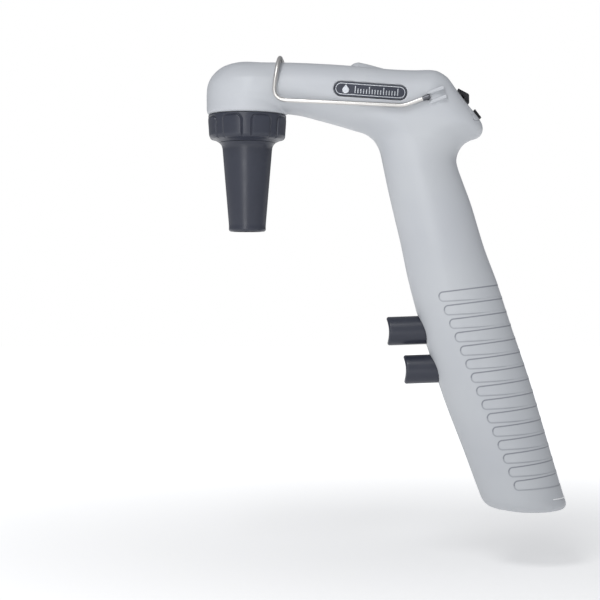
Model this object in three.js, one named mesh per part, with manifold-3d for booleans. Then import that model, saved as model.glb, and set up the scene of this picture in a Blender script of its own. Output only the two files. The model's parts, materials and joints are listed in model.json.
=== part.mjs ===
// Motorized pipette controller: a pistol-grip pump that draws and dispenses liquid in serological pipettes.
// Millimetres, +Z up. The origin is the centre of the hand grip. -X points to the nozzle, and -Y is the left side.
import * as THREE from "three";
import { mergeVertices } from "three/addons/utils/BufferGeometryUtils.js";
import Module from "manifold-3d";

const wasm = await Module();
wasm.setup();

// ---------------------------------------------------------------- driving dimensions

const WALL = 2.4; // moulded shell thickness
const GAP = 0.3; // clearance kept between neighbouring pieces
const FACETS = 20; // sides of a round piece
const FAR = 300; // reach of a cutting block, beyond the whole object

// The grip leans back from the vertical by this angle. Its own frame starts at this point of its centre line.
const GRIP_LEAN = 17.5;
const GRIP_POINT = [-0.6, 0, 3];

// Stations down the grip: height, front edge, rear edge, half width.
const GRIP_STATIONS = [
  [68, -40, 8, 18],
  [56, -46, 14, 18.6],
  [51.4, -38.3, 13.5, 19],
  [46, -32.5, 12.5, 19.5],
  [41.7, -30.7, 11.3, 19.8],
  [35, -29.2, 10.7, 20],
  [25.8, -27.3, 13.9, 20],
  [14, -24.7, 18.2, 20.2],
  [-9.7, -19.1, 25.5, 20.5],
  [-30, -14.8, 33.2, 20.7],
  [-51, -9.1, 40.1, 20.8],
  [-80, -0.3, 49.9, 20.6],
  [-110.5, 10.7, 59.1, 20.2],
  [-141.4, 22.8, 68.3, 19.2],
  [-145.4, 24.8, 69.5, 18.6],
  [-149, 28.2, 66.4, 17],
  [-151.2, 35.5, 61.8, 14.5],
  [-152.2, 43, 56.5, 10.5],
];
// Stations along the arm: position, underside, top, half width. The last ones close the rear spur.
const ARM_STATIONS = [
  [-100, 63.5, 88.6, 19.5],
  [-82, 62.3, 90, 19.5],
  [-73.6, 61.5, 89.8, 19.5],
  [-58.6, 57.7, 89.2, 19.5],
  [-48, 54.5, 88.6, 19.6],
  [-38, 50, 87.9, 19.8],
  [-24.9, 47, 86.8, 20],
  [-12.7, 45, 86.4, 20],
  [-3, 45, 86.5, 19.9],
  [2.7, 45, 84.2, 19.5],
  [5.4, 45, 82.2, 19.2],
  [10.2, 45.5, 75.9, 18.4],
  [16.1, 47.2, 68.4, 16.9],
  [20.4, 48.8, 63.6, 14.9],
  [23.5, 50.8, 59.4, 12],
  [24.9, 53.6, 56.6, 7],
];
const SECTION_POINTS = 18;
const SECTION_POWER = 2.6; // superellipse exponent of both section families

// The head is turned about the nozzle axis: radius and height up its profile.
const NOZZLE_X = -102.4;
const HEAD_BOTTOM = 62.1;
const HEAD_PROFILE = [
  [0, HEAD_BOTTOM],
  [21.3, HEAD_BOTTOM],
  [21.8, 67],
  [21.9, 73.8],
  [21.2, 78.6],
  [18.9, 82.9],
  [13.9, 87.4],
  [6.4, 90.2],
  [0, 90.6],
];
const HEAD_RADIUS = 21.9;
const HEAD_MIDDLE = 76;
const HEAD_HALF_HEIGHT = 14.5;

// Nozzle: the spigot holds the cone by a screwed collar.
const COLLAR_TOP = HEAD_BOTTOM - GAP;
const COLLAR_RADIUS = 20.6;
const COLLAR_PADS = 8;
const COLLAR_PAD_RADIUS = 21.1;
const COLLAR_PAD_ANGLE = 27;
const COLLAR_PAD_TURN = 18.7; // from the -Y side to the middle of the nearest pad
const THREAD_RADIUS = 17.6;
const CONE_TIP = -0.9;
const CONE_TIP_RADIUS = 9.9;
const CONE_ROOT_RADIUS = 13.6;
const MOUTH_RADIUS = 5.2; // seat for the pipette's mouthpiece

// Triggers: both slide along one direction, which rises slightly towards the rear.
const TRIGGER_LEAN = 2;
const TRIGGER_FRONT = [-27.4, 0, -54.7];
const TRIGGER_SPACING = 21;
const TRIGGER_SETBACK = 8.4;
const TRIGGER_RADIUS = 7.7;
const TRIGGER_LENGTH = 28;
const SADDLE_RADIUS = 30;
const SADDLE_DEPTH = 1;
const SPRING_RADIUS = 3.6;
const SPRING_WIRE = 0.45;
const SPRING_TURNS = 5;
const VALVE_FACE = 38; // from a trigger's front to the valve block

// Rear slope that carries the two slide switches.
const SLOPE_POINT = [14, 0, 71.9];
const SLOPE_FALL = 52.6; // below the horizontal
const SPEED_TRAVEL = 3; // either way
const MODE_TRAVEL = 2;
const MODE_OFFSET = 12.2; // down the slope from the speed slider

// Folding wire stand.
const PIVOT = [-5.7, 69.2]; // x and z
const WIRE_RADIUS = 1.1;
const LEG_Y = 22.3;
const STAND_BEND = [-18.1, 64.7];
const STAND_CORNER = [-87.4, 67.9];
const STAND_TOP = [-84, 91.7];
const RIDGE_OUT = 20.9;

// Badge recessed in each side of the arm.
const BADGE_CENTRE = [-35.8, 72.9];
const BADGE_LENGTH = 39;
const BADGE_HEIGHT = 7.7;
const BADGE_LEAN = 4;

// Battery cells, in the grip's own frame: forward offset, side offset.
const CELL_RADIUS = 7.1;
const CELL_LENGTH = 43;
const CELL_BOTTOM = -151.5;
const CELL_SPOTS = [
  [-7.3, -7.3],
  [-7.3, 7.3],
  [5.4, 0],
];

// Shell screws: x, z, the y at which the head's recess starts, and the post radius.
const SCREWS = [
  [-76, 71, 15, 3.2],
  [-36, 60.5, 14, 3.2],
  [-4.2, -25.4, 14, 3.2],
  [24, -92.5, 15, 3.2],
  [54, -114, 8.6, 2.6],
  [6.9, 56, 13.5, 2.6],
];
const SCREW_SHANK = 1.3;
const SCREW_HEAD = 2.2;

const MOTOR_RADIUS = 11;
const MOTOR_BOTTOM = -14;
const MOTOR_TOP = 18;
const PUMP_SIZE = 22;
const TUBE_RADIUS = 2.2;
const LEAD_RADIUS = 0.7;

// ---------------------------------------------------------------- materials

function finish(color, roughness, metalness = 0) {
  return () => new THREE.MeshStandardMaterial({ color, roughness, metalness });
}
const shellGrey = finish(0xb6bac0, 0.45);
const charcoal = finish(0x3e4149, 0.5);
const blackPlastic = finish(0x1b1c20, 0.4);
const steel = finish(0xb9bcc0, 0.25, 1);
const brass = finish(0xb79a55, 0.35, 1);
const slate = finish(0x4a4f5c, 0.35);
const silicone = finish(0xd8dcdc, 0.6);
const rubber = finish(0x2a2b2d, 0.8);
const whitePlastic = finish(0xe4e6e6, 0.5);
const boardGreen = finish(0x1f6b45, 0.5);
const cellSleeve = finish(0x3d7fb8, 0.4);
const redLead = finish(0xb0302a, 0.5);
const blackLead = finish(0x26272a, 0.5);

// ---------------------------------------------------------------- solids

const radians = THREE.MathUtils.degToRad;

function manifoldOf(position, triangles) {
  return new wasm.Manifold(new wasm.Mesh({ numProp: 3, vertProperties: position, triVerts: triangles }));
}

// A closed geometry as a solid, whichever way its faces were wound.
function solid(geometry) {
  const bare = geometry.clone();
  bare.deleteAttribute("normal");
  bare.deleteAttribute("uv");
  const merged = mergeVertices(bare, 1e-3);
  const index = [];
  for (let i = 0; i < merged.index.count; i += 3) {
    const [a, b, c] = [0, 1, 2].map((k) => merged.index.getX(i + k));
    if (a !== b && b !== c && c !== a) index.push(a, b, c);
  }
  const position = merged.attributes.position.array;
  const made = manifoldOf(position, new Uint32Array(index));
  return made.volume() > 0 ? made : manifoldOf(position, new Uint32Array(index.reverse()));
}

function geometryOf(made) {
  const mesh = made.getMesh();
  const position = new Float32Array(mesh.numVert * 3);
  for (let i = 0; i < mesh.numVert; i += 1) {
    position.set(mesh.vertProperties.subarray(i * mesh.numProp, i * mesh.numProp + 3), i * 3);
  }
  const indexed = new THREE.BufferGeometry();
  indexed.setAttribute("position", new THREE.BufferAttribute(position, 3));
  indexed.setIndex(new THREE.BufferAttribute(mesh.triVerts, 1));
  const flat = indexed.toNonIndexed();
  flat.computeVertexNormals();
  return flat;
}

function union(...solids) {
  return solids.reduce((whole, next) => whole.add(next));
}

function cutAway(whole, ...tools) {
  return tools.reduce((left, tool) => left.subtract(tool), whole);
}

// A box from its low corner to its high corner.
function block(low, high) {
  const size = high.map((v, i) => v - low[i]);
  const geometry = new THREE.BoxGeometry(...size);
  geometry.translate(...high.map((v, i) => (v + low[i]) / 2));
  return geometry;
}

// A cylinder along +Z from height low to height high.
function post(radius, low, high, sides = FACETS) {
  const geometry = new THREE.CylinderGeometry(radius, radius, high - low, sides);
  geometry.rotateX(Math.PI / 2);
  geometry.translate(0, 0, (low + high) / 2);
  return geometry;
}

// A cylinder along +X, used in the trigger frame.
function rodX(radius, low, high, sides = FACETS) {
  const geometry = new THREE.CylinderGeometry(radius, radius, high - low, sides);
  geometry.rotateZ(Math.PI / 2);
  geometry.translate((low + high) / 2, 0, 0);
  return geometry;
}

// A cylinder along +Y at x, z.
function rodY(radius, x, z, low, high, sides = 10) {
  const geometry = new THREE.CylinderGeometry(radius, radius, high - low, sides);
  geometry.translate(x, (low + high) / 2, z);
  return geometry;
}

// A profile of [radius, height] pairs turned about +Z.
function turned(profile, sides = FACETS) {
  const geometry = new THREE.LatheGeometry(
    profile.map(([radius, height]) => new THREE.Vector2(radius, height)),
    sides,
  );
  geometry.rotateX(Math.PI / 2);
  return geometry;
}

// A closed skin over a row of convex rings.
function loft(rings) {
  const count = rings[0].length;
  const last = (rings.length - 1) * count;
  const index = [];
  for (let start = 0; start < last; start += count) {
    for (let i = 0; i < count; i += 1) {
      const a = start + i;
      const b = start + ((i + 1) % count);
      index.push(a, b, b + count, a, b + count, a + count);
    }
  }
  for (let i = 1; i + 1 < count; i += 1) {
    index.push(0, i + 1, i, last, last + i, last + i + 1);
  }
  const geometry = new THREE.BufferGeometry();
  geometry.setAttribute("position", new THREE.Float32BufferAttribute(rings.flat(2), 3));
  geometry.setIndex(index);
  return geometry;
}

// Points of a superellipse as [u, v] pairs.
function oval(halfU, halfV, power = SECTION_POWER, count = SECTION_POINTS) {
  const bend = (value) => Math.sign(value) * Math.abs(value) ** (2 / power);
  return Array.from({ length: count }, (_, i) => {
    const angle = (2 * Math.PI * (i + 0.5)) / count;
    return [halfU * bend(Math.cos(angle)), halfV * bend(Math.sin(angle))];
  });
}

// A round bar along a smooth curve through points.
function bar(points, radius, sides = 8, steps = 24, tension = 0.5) {
  const curve = new THREE.CatmullRomCurve3(
    points.map((p) => new THREE.Vector3(...p)),
    false,
    "catmullrom",
    tension,
  );
  return sweep(curve, radius, sides, steps);
}

function sweep(curve, radius, sides, steps) {
  const section = new THREE.Shape();
  for (let i = 0; i < sides; i += 1) {
    const angle = (2 * Math.PI * i) / sides;
    const place = [radius * Math.cos(angle), radius * Math.sin(angle)];
    if (i === 0) section.moveTo(...place);
    else section.lineTo(...place);
  }
  section.closePath();
  return new THREE.ExtrudeGeometry(section, { steps, bevelEnabled: false, extrudePath: curve });
}

// A stadium outline in the XZ plane, extruded along Y from low to high.
function slotPlate(length, height, low, high, [x, z], lean) {
  const half = (length - height) / 2;
  const outline = new THREE.Shape();
  outline.absarc(half, 0, height / 2, -Math.PI / 2, Math.PI / 2);
  outline.absarc(-half, 0, height / 2, Math.PI / 2, (3 * Math.PI) / 2);
  const geometry = new THREE.ExtrudeGeometry(outline, {
    depth: high - low,
    bevelEnabled: false,
    curveSegments: 6,
  });
  geometry.rotateX(Math.PI / 2);
  geometry.rotateY(-radians(lean));
  geometry.translate(x, high, z);
  return geometry;
}

// ---------------------------------------------------------------- frames

// A group placed at point with its +X turned up by degrees in the XZ plane.
function frameAt(point, degrees) {
  const group = new THREE.Group();
  group.position.set(...point);
  group.rotation.y = -radians(degrees);
  group.updateMatrixWorld(true);
  return group;
}

const gripFrame = frameAt(GRIP_POINT, GRIP_LEAN); // +Z up the grip, +X to its rear
const triggerFrame = frameAt(TRIGGER_FRONT, TRIGGER_LEAN); // +X into the grip
const slopeFrame = frameAt(SLOPE_POINT, -SLOPE_FALL); // +X down the slope, +Z out of it

function inFrame(geometry, frame) {
  return geometry.clone().applyMatrix4(frame.matrixWorld);
}

const root = new THREE.Group();

function part(name, geometry, material, parent = root) {
  const mesh = new THREE.Mesh(geometry, material());
  mesh.name = name;
  parent.add(mesh);
}

// ---------------------------------------------------------------- housing

function gripSolid(grow) {
  const ends = grow / Math.cos(radians(GRIP_LEAN));
  const rings = GRIP_STATIONS.map(([z, front, rear, half]) =>
    oval((rear - front) / 2 + ends, half + grow).map(([u, v]) => [(front + rear) / 2 + u, v, z]),
  );
  return solid(loft(rings));
}

function armSolid(grow) {
  const rings = ARM_STATIONS.map(([x, bottom, top, half]) => {
    const tall = Math.max((top - bottom) / 2 + grow, 0.4);
    return oval(half + grow, tall).map(([u, v]) => [x, u, (bottom + top) / 2 + v]);
  });
  return solid(loft(rings));
}

function headSolid(grow) {
  const geometry = turned(HEAD_PROFILE, 28);
  geometry.translate(0, 0, -HEAD_MIDDLE);
  const across = 1 + grow / HEAD_RADIUS;
  geometry.scale(across, across, 1 + grow / HEAD_HALF_HEIGHT);
  geometry.translate(NOZZLE_X, 0, HEAD_MIDDLE);
  return solid(geometry);
}

function outerBody(grow = 0) {
  return union(gripSolid(grow), armSolid(grow), headSolid(grow));
}

function cavity() {
  const floor = GRIP_STATIONS.at(-1)[0] + WALL + 0.2;
  const aboveFloor = solid(block([-FAR, -FAR, floor], [FAR, FAR, FAR]));
  const spurEnd = ARM_STATIONS.at(-1)[0] - WALL;
  const beforeSpur = solid(block([-FAR, -FAR, -FAR], [spurEnd, FAR, FAR]));
  const grip = gripSolid(-WALL).intersect(aboveFloor);
  return union(grip, armSolid(-WALL).intersect(beforeSpur), headSolid(-WALL));
}

const DOOR_CENTRE = 46.5;
const DOOR_SPLIT = 61; // the door takes in the rear corner behind this x
const DOOR_CORNER = -143.8; // and below this height

// The part of the grip's foot that the battery door fills, shrunk by gap on every side.
function doorSpace(gap) {
  const plate = oval(15.5 - gap, 13 - gap).map(([u, v]) => [DOOR_CENTRE + u, v]);
  const rings = [-160, -149.7 - gap].map((z) => plate.map(([x, y]) => [x, y, z]));
  const corner = block([DOOR_SPLIT + gap - 0.6, -FAR, -160], [90, FAR, DOOR_CORNER - gap]);
  return union(solid(loft(rings)), solid(corner));
}

const PANEL_TOP = -14.6; // along the slope from the speed slider
const PANEL_END = 15.4;
const PANEL_HALF = 13.5;
const PANEL_DEPTH = 9.2;

function panelSpace(gap) {
  const low = [PANEL_TOP + gap, -PANEL_HALF + gap, -PANEL_DEPTH];
  const high = [PANEL_END - gap, PANEL_HALF - gap, 20];
  return solid(inFrame(block(low, high), slopeFrame));
}

const HOOD_STATIONS = [
  [-46.8, 88.4, 1.5],
  [-45, 90.1, 4.2],
  [-42.6, 90.7, 5.4],
  [-38, 89.7, 5.6],
  [-31, 87.9, 4.4],
  [-26, 86.9, 2.4],
];
const HOOD_FLOOR = 84.2;

function hoodSolid(grow) {
  const rings = HOOD_STATIONS.map(([x, top, half]) => {
    const tall = (top - HOOD_FLOOR) / 2 + grow;
    return oval(half + grow, tall, 3, 12).map(([u, v]) => [x, u, (HOOD_FLOOR + top) / 2 + v]);
  });
  const ends = [HOOD_STATIONS[0][0] - grow, HOOD_STATIONS.at(-1)[0] + grow];
  rings[0] = rings[0].map(([, y, z]) => [ends[0], y, z]);
  rings[rings.length - 1] = rings.at(-1).map(([, y, z]) => [ends[1], y, z]);
  return solid(loft(rings));
}

const LED_X = -71;
const LED_RADIUS = 1.3;
const SOCKET_PLACE = [14, -84]; // x and z of the charging socket, on the right side
const SOCKET_RADIUS = 4;

// Raised guides that the opened stand's legs lie between, on the side at sign.
function standGuides(sign) {
  const ends = [sign * 18, sign * RIDGE_OUT].sort((a, b) => a - b);
  return [
    [-1.3, 73.2],
    [0.2, 68.7],
  ].map((centre) => solid(slotPlate(9.5, 2, ...ends, centre, 21.5)));
}

function bushHole(sign) {
  return solid(rodY(2.8 + GAP, ...PIVOT, ...(sign < 0 ? [-FAR, -11.7] : [11.7, FAR])));
}

function badgeHole(sign) {
  const reach = sign < 0 ? [-FAR / 10, -18.6] : [18.6, FAR / 10];
  const grown = [BADGE_LENGTH + 2 * GAP, BADGE_HEIGHT + 2 * GAP];
  return solid(slotPlate(...grown, ...reach, BADGE_CENTRE, -BADGE_LEAN));
}

function triggerHoles() {
  return [0, 1].map((row) => {
    const hole = rodX(TRIGGER_RADIUS + GAP, -30, 34, 20);
    hole.translate(row * TRIGGER_SETBACK, 0, -row * TRIGGER_SPACING);
    return solid(inFrame(hole, triggerFrame));
  });
}

function shellHalf(sign) {
  const shell = cutAway(outerBody(), cavity());
  const outside = outerBody();
  const postEnds = sign < 0 ? [-FAR / 10, 0] : [0, FAR / 10];
  const posts = SCREWS.map(([x, z, , radius]) => solid(rodY(radius, x, z, ...postEnds)).intersect(outside));
  const bushSeat = solid(rodY(4.6, ...PIVOT, ...(sign < 0 ? [-FAR / 10, -12] : [12, FAR / 10])));
  const solidShell = union(shell, ...posts, bushSeat.intersect(outside), ...standGuides(sign));
  const spigotHole = post(THREAD_RADIUS + GAP, 50, 66);
  spigotHole.translate(NOZZLE_X, 0, 0);
  const ledHole = post(LED_RADIUS + GAP, 80, 100, 12);
  ledHole.translate(LED_X, 0, 0);
  const tools = [solid(spigotHole), solid(ledHole), panelSpace(0), hoodSolid(GAP), doorSpace(0)];
  tools.push(badgeHole(sign), bushHole(sign), ...triggerHoles());
  for (const [x, z, recess] of SCREWS) {
    if (sign > 0) {
      tools.push(solid(rodY(SCREW_SHANK + GAP, x, z, -1, FAR / 10, 10)));
      tools.push(solid(rodY(SCREW_HEAD + GAP, x, z, recess, FAR / 10, 12)));
    } else {
      tools.push(solid(rodY(SCREW_SHANK + GAP, x, z, -recess + 2, 1, 10)));
    }
  }
  if (sign > 0) tools.push(solid(rodY(SOCKET_RADIUS + GAP, ...SOCKET_PLACE, 10, FAR / 10, 16)));
  const low = [-FAR, sign < 0 ? -FAR : GAP / 2, -FAR];
  const high = [FAR, sign < 0 ? -GAP / 2 : FAR, FAR];
  return cutAway(solidShell, ...tools).intersect(solid(block(low, high)));
}

function makeHousing() {
  for (const [name, sign] of [["left_shell", -1], ["right_shell", 1]]) {
    part(name, geometryOf(shellHalf(sign)), shellGrey);
  }
  for (const [i, [x, z, recess]] of SCREWS.entries()) {
    const shank = solid(rodY(SCREW_SHANK, x, z, -recess + 3, recess + 0.5, 10));
    const head = solid(rodY(SCREW_HEAD, x, z, recess + GAP, recess + GAP + 1.6, 12));
    part(`shell_screw_${i + 1}`, geometryOf(union(shank, head)), steel);
  }
}

// Trim on the arm and the grip: badges, indicator hood, power lamp and charging socket.
function makeTrim() {
  for (const [name, sign] of [["badge_left", -1], ["badge_right", 1]]) {
    const ends = sign < 0 ? [-20.35, -18.9] : [18.9, 20.35];
    part(name, slotPlate(BADGE_LENGTH, BADGE_HEIGHT, ...ends, BADGE_CENTRE, -BADGE_LEAN), slate);
  }
  part("indicator_hood", geometryOf(hoodSolid(0)), shellGrey);
  const profile = [[0, 85.2], [2.2, 85.2], [2.2, 86], [LED_RADIUS, 86], [LED_RADIUS, 90.6], [0, 91]];
  const lamp = turned(profile, 12);
  lamp.translate(LED_X, 0, 0);
  part("power_lamp", lamp, blackPlastic);
  const jack = rodY(SOCKET_RADIUS, ...SOCKET_PLACE, 11, 19.6, 16);
  const bore = rodY(2.8, ...SOCKET_PLACE, 13, 30, 12);
  const pin = rodY(0.8, ...SOCKET_PLACE, 12.5, 19, 8);
  part("charge_socket", geometryOf(union(cutAway(solid(jack), solid(bore)), solid(pin))), blackPlastic);
}

function makeBatteryDoor() {
  part("battery_door", geometryOf(outerBody(-0.5).intersect(doorSpace(GAP))), shellGrey);
  part("door_contact", block([36, -9, -149.4], [57, 9, -148.8]), brass);
}

// ---------------------------------------------------------------- nozzle

function makeSpigot() {
  const profile = [
    [1.2, 58],
    [14, 58],
    [14, 52.6],
    [THREAD_RADIUS, 52.6],
    [THREAD_RADIUS, 65],
    [18.6, 65],
    [18.6, 67.4],
    [3.2, 67.4],
    [2.4, 68],
    [2.4, 76],
    [1.2, 76],
    [1.2, 58],
  ];
  const geometry = turned(profile);
  geometry.translate(NOZZLE_X, 0, 0);
  part("outlet_spigot", geometry, whitePlastic);
}

function collarPad(angle) {
  const outline = new THREE.Shape();
  const half = radians(COLLAR_PAD_ANGLE) / 2;
  outline.absarc(0, 0, COLLAR_PAD_RADIUS, -half, half);
  outline.absarc(0, 0, COLLAR_RADIUS - 1, half, -half, true);
  const options = { depth: 8.6, bevelEnabled: false, curveSegments: 2 };
  const geometry = new THREE.ExtrudeGeometry(outline, options);
  geometry.translate(0, 0, 51.4);
  geometry.rotateZ(angle);
  return solid(geometry);
}

function makeCollar() {
  const inner = THREAD_RADIUS + 0.4;
  const profile = [
    [inner, COLLAR_TOP],
    [inner, 50.3],
    [14.3, 50.3],
    [14.3, 48.2],
    [16.6, 48.6],
    [19.4, 49.9],
    [COLLAR_RADIUS, 52.4],
    [COLLAR_RADIUS, COLLAR_TOP - 0.6],
    [COLLAR_RADIUS - 0.6, COLLAR_TOP],
    [inner, COLLAR_TOP],
  ];
  const pads = Array.from({ length: COLLAR_PADS }, (_, i) =>
    collarPad(radians(-90 - COLLAR_PAD_TURN) + (i * 2 * Math.PI) / COLLAR_PADS),
  );
  const collar = geometryOf(union(solid(turned(profile, 32)), ...pads));
  collar.translate(NOZZLE_X, 0, 0);
  part("collar_nut", collar, charcoal);
}

function makeNose() {
  const cone = [
    [12.2, 52.2],
    [12.2, 44],
    [8.3, 1.2],
    [7.9, CONE_TIP],
    [CONE_TIP_RADIUS - 0.8, CONE_TIP],
    [CONE_TIP_RADIUS, CONE_TIP + 1],
    [CONE_ROOT_RADIUS, 45],
    [13.9, 50.6],
    [17.3, 50.6],
    [17.3, 52.2],
    [12.2, 52.2],
  ];
  const holder = [
    [3.8, 43],
    [3.8, 17],
    [MOUTH_RADIUS, 12.5],
    [MOUTH_RADIUS + 0.4, 0.4],
    [7.3, 0.4],
    [7.8, 3],
    [11.3, 43],
    [3.8, 43],
  ];
  const gasket = [
    [9, 52.5],
    [13.5, 52.5],
    [13.5, 53.2],
    [9, 53.2],
    [9, 52.5],
  ];
  const filter = [
    [0, 53.5],
    [13.2, 53.5],
    [13.2, 57.2],
    [4, 57.2],
    [3.4, 57.6],
    [0, 57.6],
  ];
  const pieces = [
    ["nose_cone", cone, charcoal],
    ["pipette_holder", holder, rubber],
    ["filter_gasket", gasket, rubber],
    ["membrane_filter", filter, whitePlastic],
  ];
  for (const [name, profile, material] of pieces) {
    const geometry = turned(profile);
    geometry.translate(NOZZLE_X, 0, 0);
    part(name, geometry, material);
  }
}

// ---------------------------------------------------------------- triggers and valves

function helix(radius, pitch, turns, start) {
  const points = [];
  const perTurn = 8;
  for (let i = 0; i <= turns * perTurn; i += 1) {
    const angle = (2 * Math.PI * i) / perTurn;
    points.push([start + (pitch * i) / perTurn, radius * Math.cos(angle), radius * Math.sin(angle)]);
  }
  return points;
}

function makeTrigger(label, row) {
  const place = new THREE.Group();
  place.position.set(row * TRIGGER_SETBACK, 0, -row * TRIGGER_SPACING);
  triggerFrame.add(place);
  const recess = 16;
  const saddle = rodY(SADDLE_RADIUS, SADDLE_DEPTH - SADDLE_RADIUS, 0, -20, 20, 96);
  const pocket = rodX(5, recess, TRIGGER_LENGTH + 5);
  const cap = cutAway(solid(rodX(TRIGGER_RADIUS, 0, TRIGGER_LENGTH)), solid(saddle), solid(pocket));
  part(`${label}_trigger`, geometryOf(cap), charcoal, place);
  const flange = rodX(2.6, recess + GAP, recess + GAP + 1);
  const stem = union(solid(rodX(1.5, recess + GAP, 44.5, 12)), solid(flange));
  part(`${label}_valve_stem`, geometryOf(stem), steel, place);
  const seal = rodX(2.9, VALVE_FACE - 2.6, VALVE_FACE - GAP);
  const ring = cutAway(solid(seal), solid(rodX(1.9, 0, 60, 16)));
  part(`${label}_stem_seal`, geometryOf(ring), rubber, place);
  const start = recess + GAP + 1 + SPRING_WIRE + GAP;
  const end = VALVE_FACE - 0.8;
  const coil = helix(SPRING_RADIUS, (end - start) / SPRING_TURNS, SPRING_TURNS, start);
  part(`${label}_spring`, bar(coil, SPRING_WIRE, 4, SPRING_TURNS * 8), steel, place);
  const body = block([34.2, 9.6, -5], [46, 15.4, 5]);
  const lever = block([33.5, 6, -1.8], [33.9, 14, 1.8]);
  const hinge = block([33.5, 12.6, -1.8], [35, 14, 1.8]);
  const microswitch = union(solid(body), solid(lever), solid(hinge));
  part(`${label}_microswitch`, geometryOf(microswitch), blackPlastic, place);
}

const VALVE_DEPTH = 16;
const BARB_SPOTS = [-6, 6];

function makeValveBlock() {
  const upper = block([VALVE_FACE, -9, -TRIGGER_SPACING / 2], [VALVE_FACE + VALVE_DEPTH, 9, 9.6]);
  const lowFace = VALVE_FACE + TRIGGER_SETBACK;
  const lowEnd = [lowFace + VALVE_DEPTH, 9, -TRIGGER_SPACING / 2];
  const lower = block([lowFace, -9, -TRIGGER_SPACING - 9.6], lowEnd);
  const bores = [0, 1].map((row) => {
    const bore = rodX(1.9, 0, VALVE_FACE + 12.5, 12);
    bore.translate(row * TRIGGER_SETBACK, 0, -row * TRIGGER_SPACING);
    return solid(bore);
  });
  const barbs = BARB_SPOTS.map((y) => {
    const barb = post(2, 9, 15, 12);
    barb.translate(VALVE_FACE + 7, y, 0);
    return solid(barb);
  });
  const outlet = rodX(2, VALVE_FACE + VALVE_DEPTH - 1, VALVE_FACE + VALVE_DEPTH + 2.5, 12);
  outlet.translate(0, 0, 4);
  const whole = union(solid(upper), solid(lower), ...barbs, solid(outlet));
  part("valve_block", geometryOf(cutAway(whole, ...bores)), whitePlastic, triggerFrame);
}

// ---------------------------------------------------------------- pump

function makePump() {
  const can = [
    [0, MOTOR_BOTTOM],
    [MOTOR_RADIUS - 1, MOTOR_BOTTOM],
    [MOTOR_RADIUS, MOTOR_BOTTOM + 1],
    [MOTOR_RADIUS, MOTOR_TOP - 1],
    [MOTOR_RADIUS - 1, MOTOR_TOP],
    [0, MOTOR_TOP],
  ];
  part("motor", turned(can), steel, gripFrame);
  const low = MOTOR_TOP + GAP;
  const half = PUMP_SIZE / 2;
  const crank = union(solid(post(1, low, low + 3, 12)), solid(post(6, low + 2, low + 5)));
  const pin = post(1.4, low + 4, low + 8, 12);
  pin.translate(3, 0, 0);
  part("pump_crank", geometryOf(union(crank, solid(pin))), steel, gripFrame);
  const casing = cutAway(
    solid(block([-half, -half, low], [half, half, low + 12.7])),
    solid(post(9, low - 1, low + 14)),
  );
  part("pump_housing", geometryOf(casing), blackPlastic, gripFrame);
  const membraneLow = low + 12.7 + GAP;
  const membrane = union(
    solid(block([-half, -half, membraneLow], [half, half, membraneLow + 1.6])),
    solid(post(5, membraneLow - 3, membraneLow + 1)),
  );
  part("diaphragm", geometryOf(membrane), silicone, gripFrame);
  const headLow = membraneLow + 1.6 + GAP;
  const barbs = BARB_SPOTS.map((y) => {
    const barb = post(2, headLow + 6, headLow + 11, 12);
    barb.translate(5, y, 0);
    return solid(barb);
  });
  const head = union(solid(block([-half, -half, headLow], [half, half, headLow + 7])), ...barbs);
  part("pump_head", geometryOf(head), blackPlastic, gripFrame);
}

// ---------------------------------------------------------------- tubes and leads

// Route of the pressure and suction tubes beside the motor, in the grip's frame.
const PUMP_TUBE_ROUTE = [
  [4.9, -43.6],
  [6.4, -38],
  [11, -30],
  [14, -20],
  [14.4, 0],
  [14.4, 25],
  [14.2, 42],
  [12.6, 48.6],
  [9.4, 51],
  [6.2, 49.8],
  [5, 45.9],
];
// Route of the outlet tube from the valve block to the spigot, in x and z.
const OUTLET_ROUTE = [
  [29.4, -48.7],
  [31.6, -48.2],
  [32.4, -46],
  [30.6, -41],
  [24.6, -21],
  [16, 3],
  [8.6, 25],
  [5, 37],
  [3.6, 48],
  [-2, 60],
  [-12, 70],
  [-28, 77],
  [-60, 81],
  [-88, 82.6],
  [-96.5, 83.8],
  [-101.4, 81.8],
  [-102.4, 76.6],
];

function makeTubes() {
  for (const [name, y] of [["pressure_tube", BARB_SPOTS[0]], ["suction_tube", BARB_SPOTS[1]]]) {
    const route = PUMP_TUBE_ROUTE.map(([x, z]) => [x, y, z]);
    part(name, bar(route, TUBE_RADIUS, 6, 24), silicone, gripFrame);
  }
  const outlet = OUTLET_ROUTE.map(([x, z]) => [x, 0, z]);
  part("outlet_tube", bar(outlet, TUBE_RADIUS, 6, 44), silicone);
}

// Routes of the leads in the grip's frame: one from the battery and one from the motor, to the control board.
const BATTERY_LEAD_ROUTE = [
  [4, 8, -105.4],
  [6, 11, -98],
  [9, 13.5, -85],
  [9, 13.5, -50],
  [4, 13.6, -25],
  [1, 13.6, 0],
  [1, 13.6, 25],
  [0, 13.2, 42],
  [2, 12, 52],
  [6.5, 8.6, 58],
  [7.3, 8, 61],
];
const MOTOR_LEAD_ROUTE = [
  [2, 6, -14.9],
  [-1, 10, -17],
  [-4, 13.2, -12],
  [-5, 13.6, 5],
  [-5, 13.4, 25],
  [-5, 13.2, 42],
  [-1, 12, 53],
  [2.6, 9, 60],
  [3, 8, 62.6],
];

function makeLeads() {
  part("battery_lead", bar(BATTERY_LEAD_ROUTE, LEAD_RADIUS, 5, 24), redLead, gripFrame);
  part("motor_lead", bar(MOTOR_LEAD_ROUTE, LEAD_RADIUS, 5, 22), blackLead, gripFrame);
}

// ---------------------------------------------------------------- battery

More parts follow.
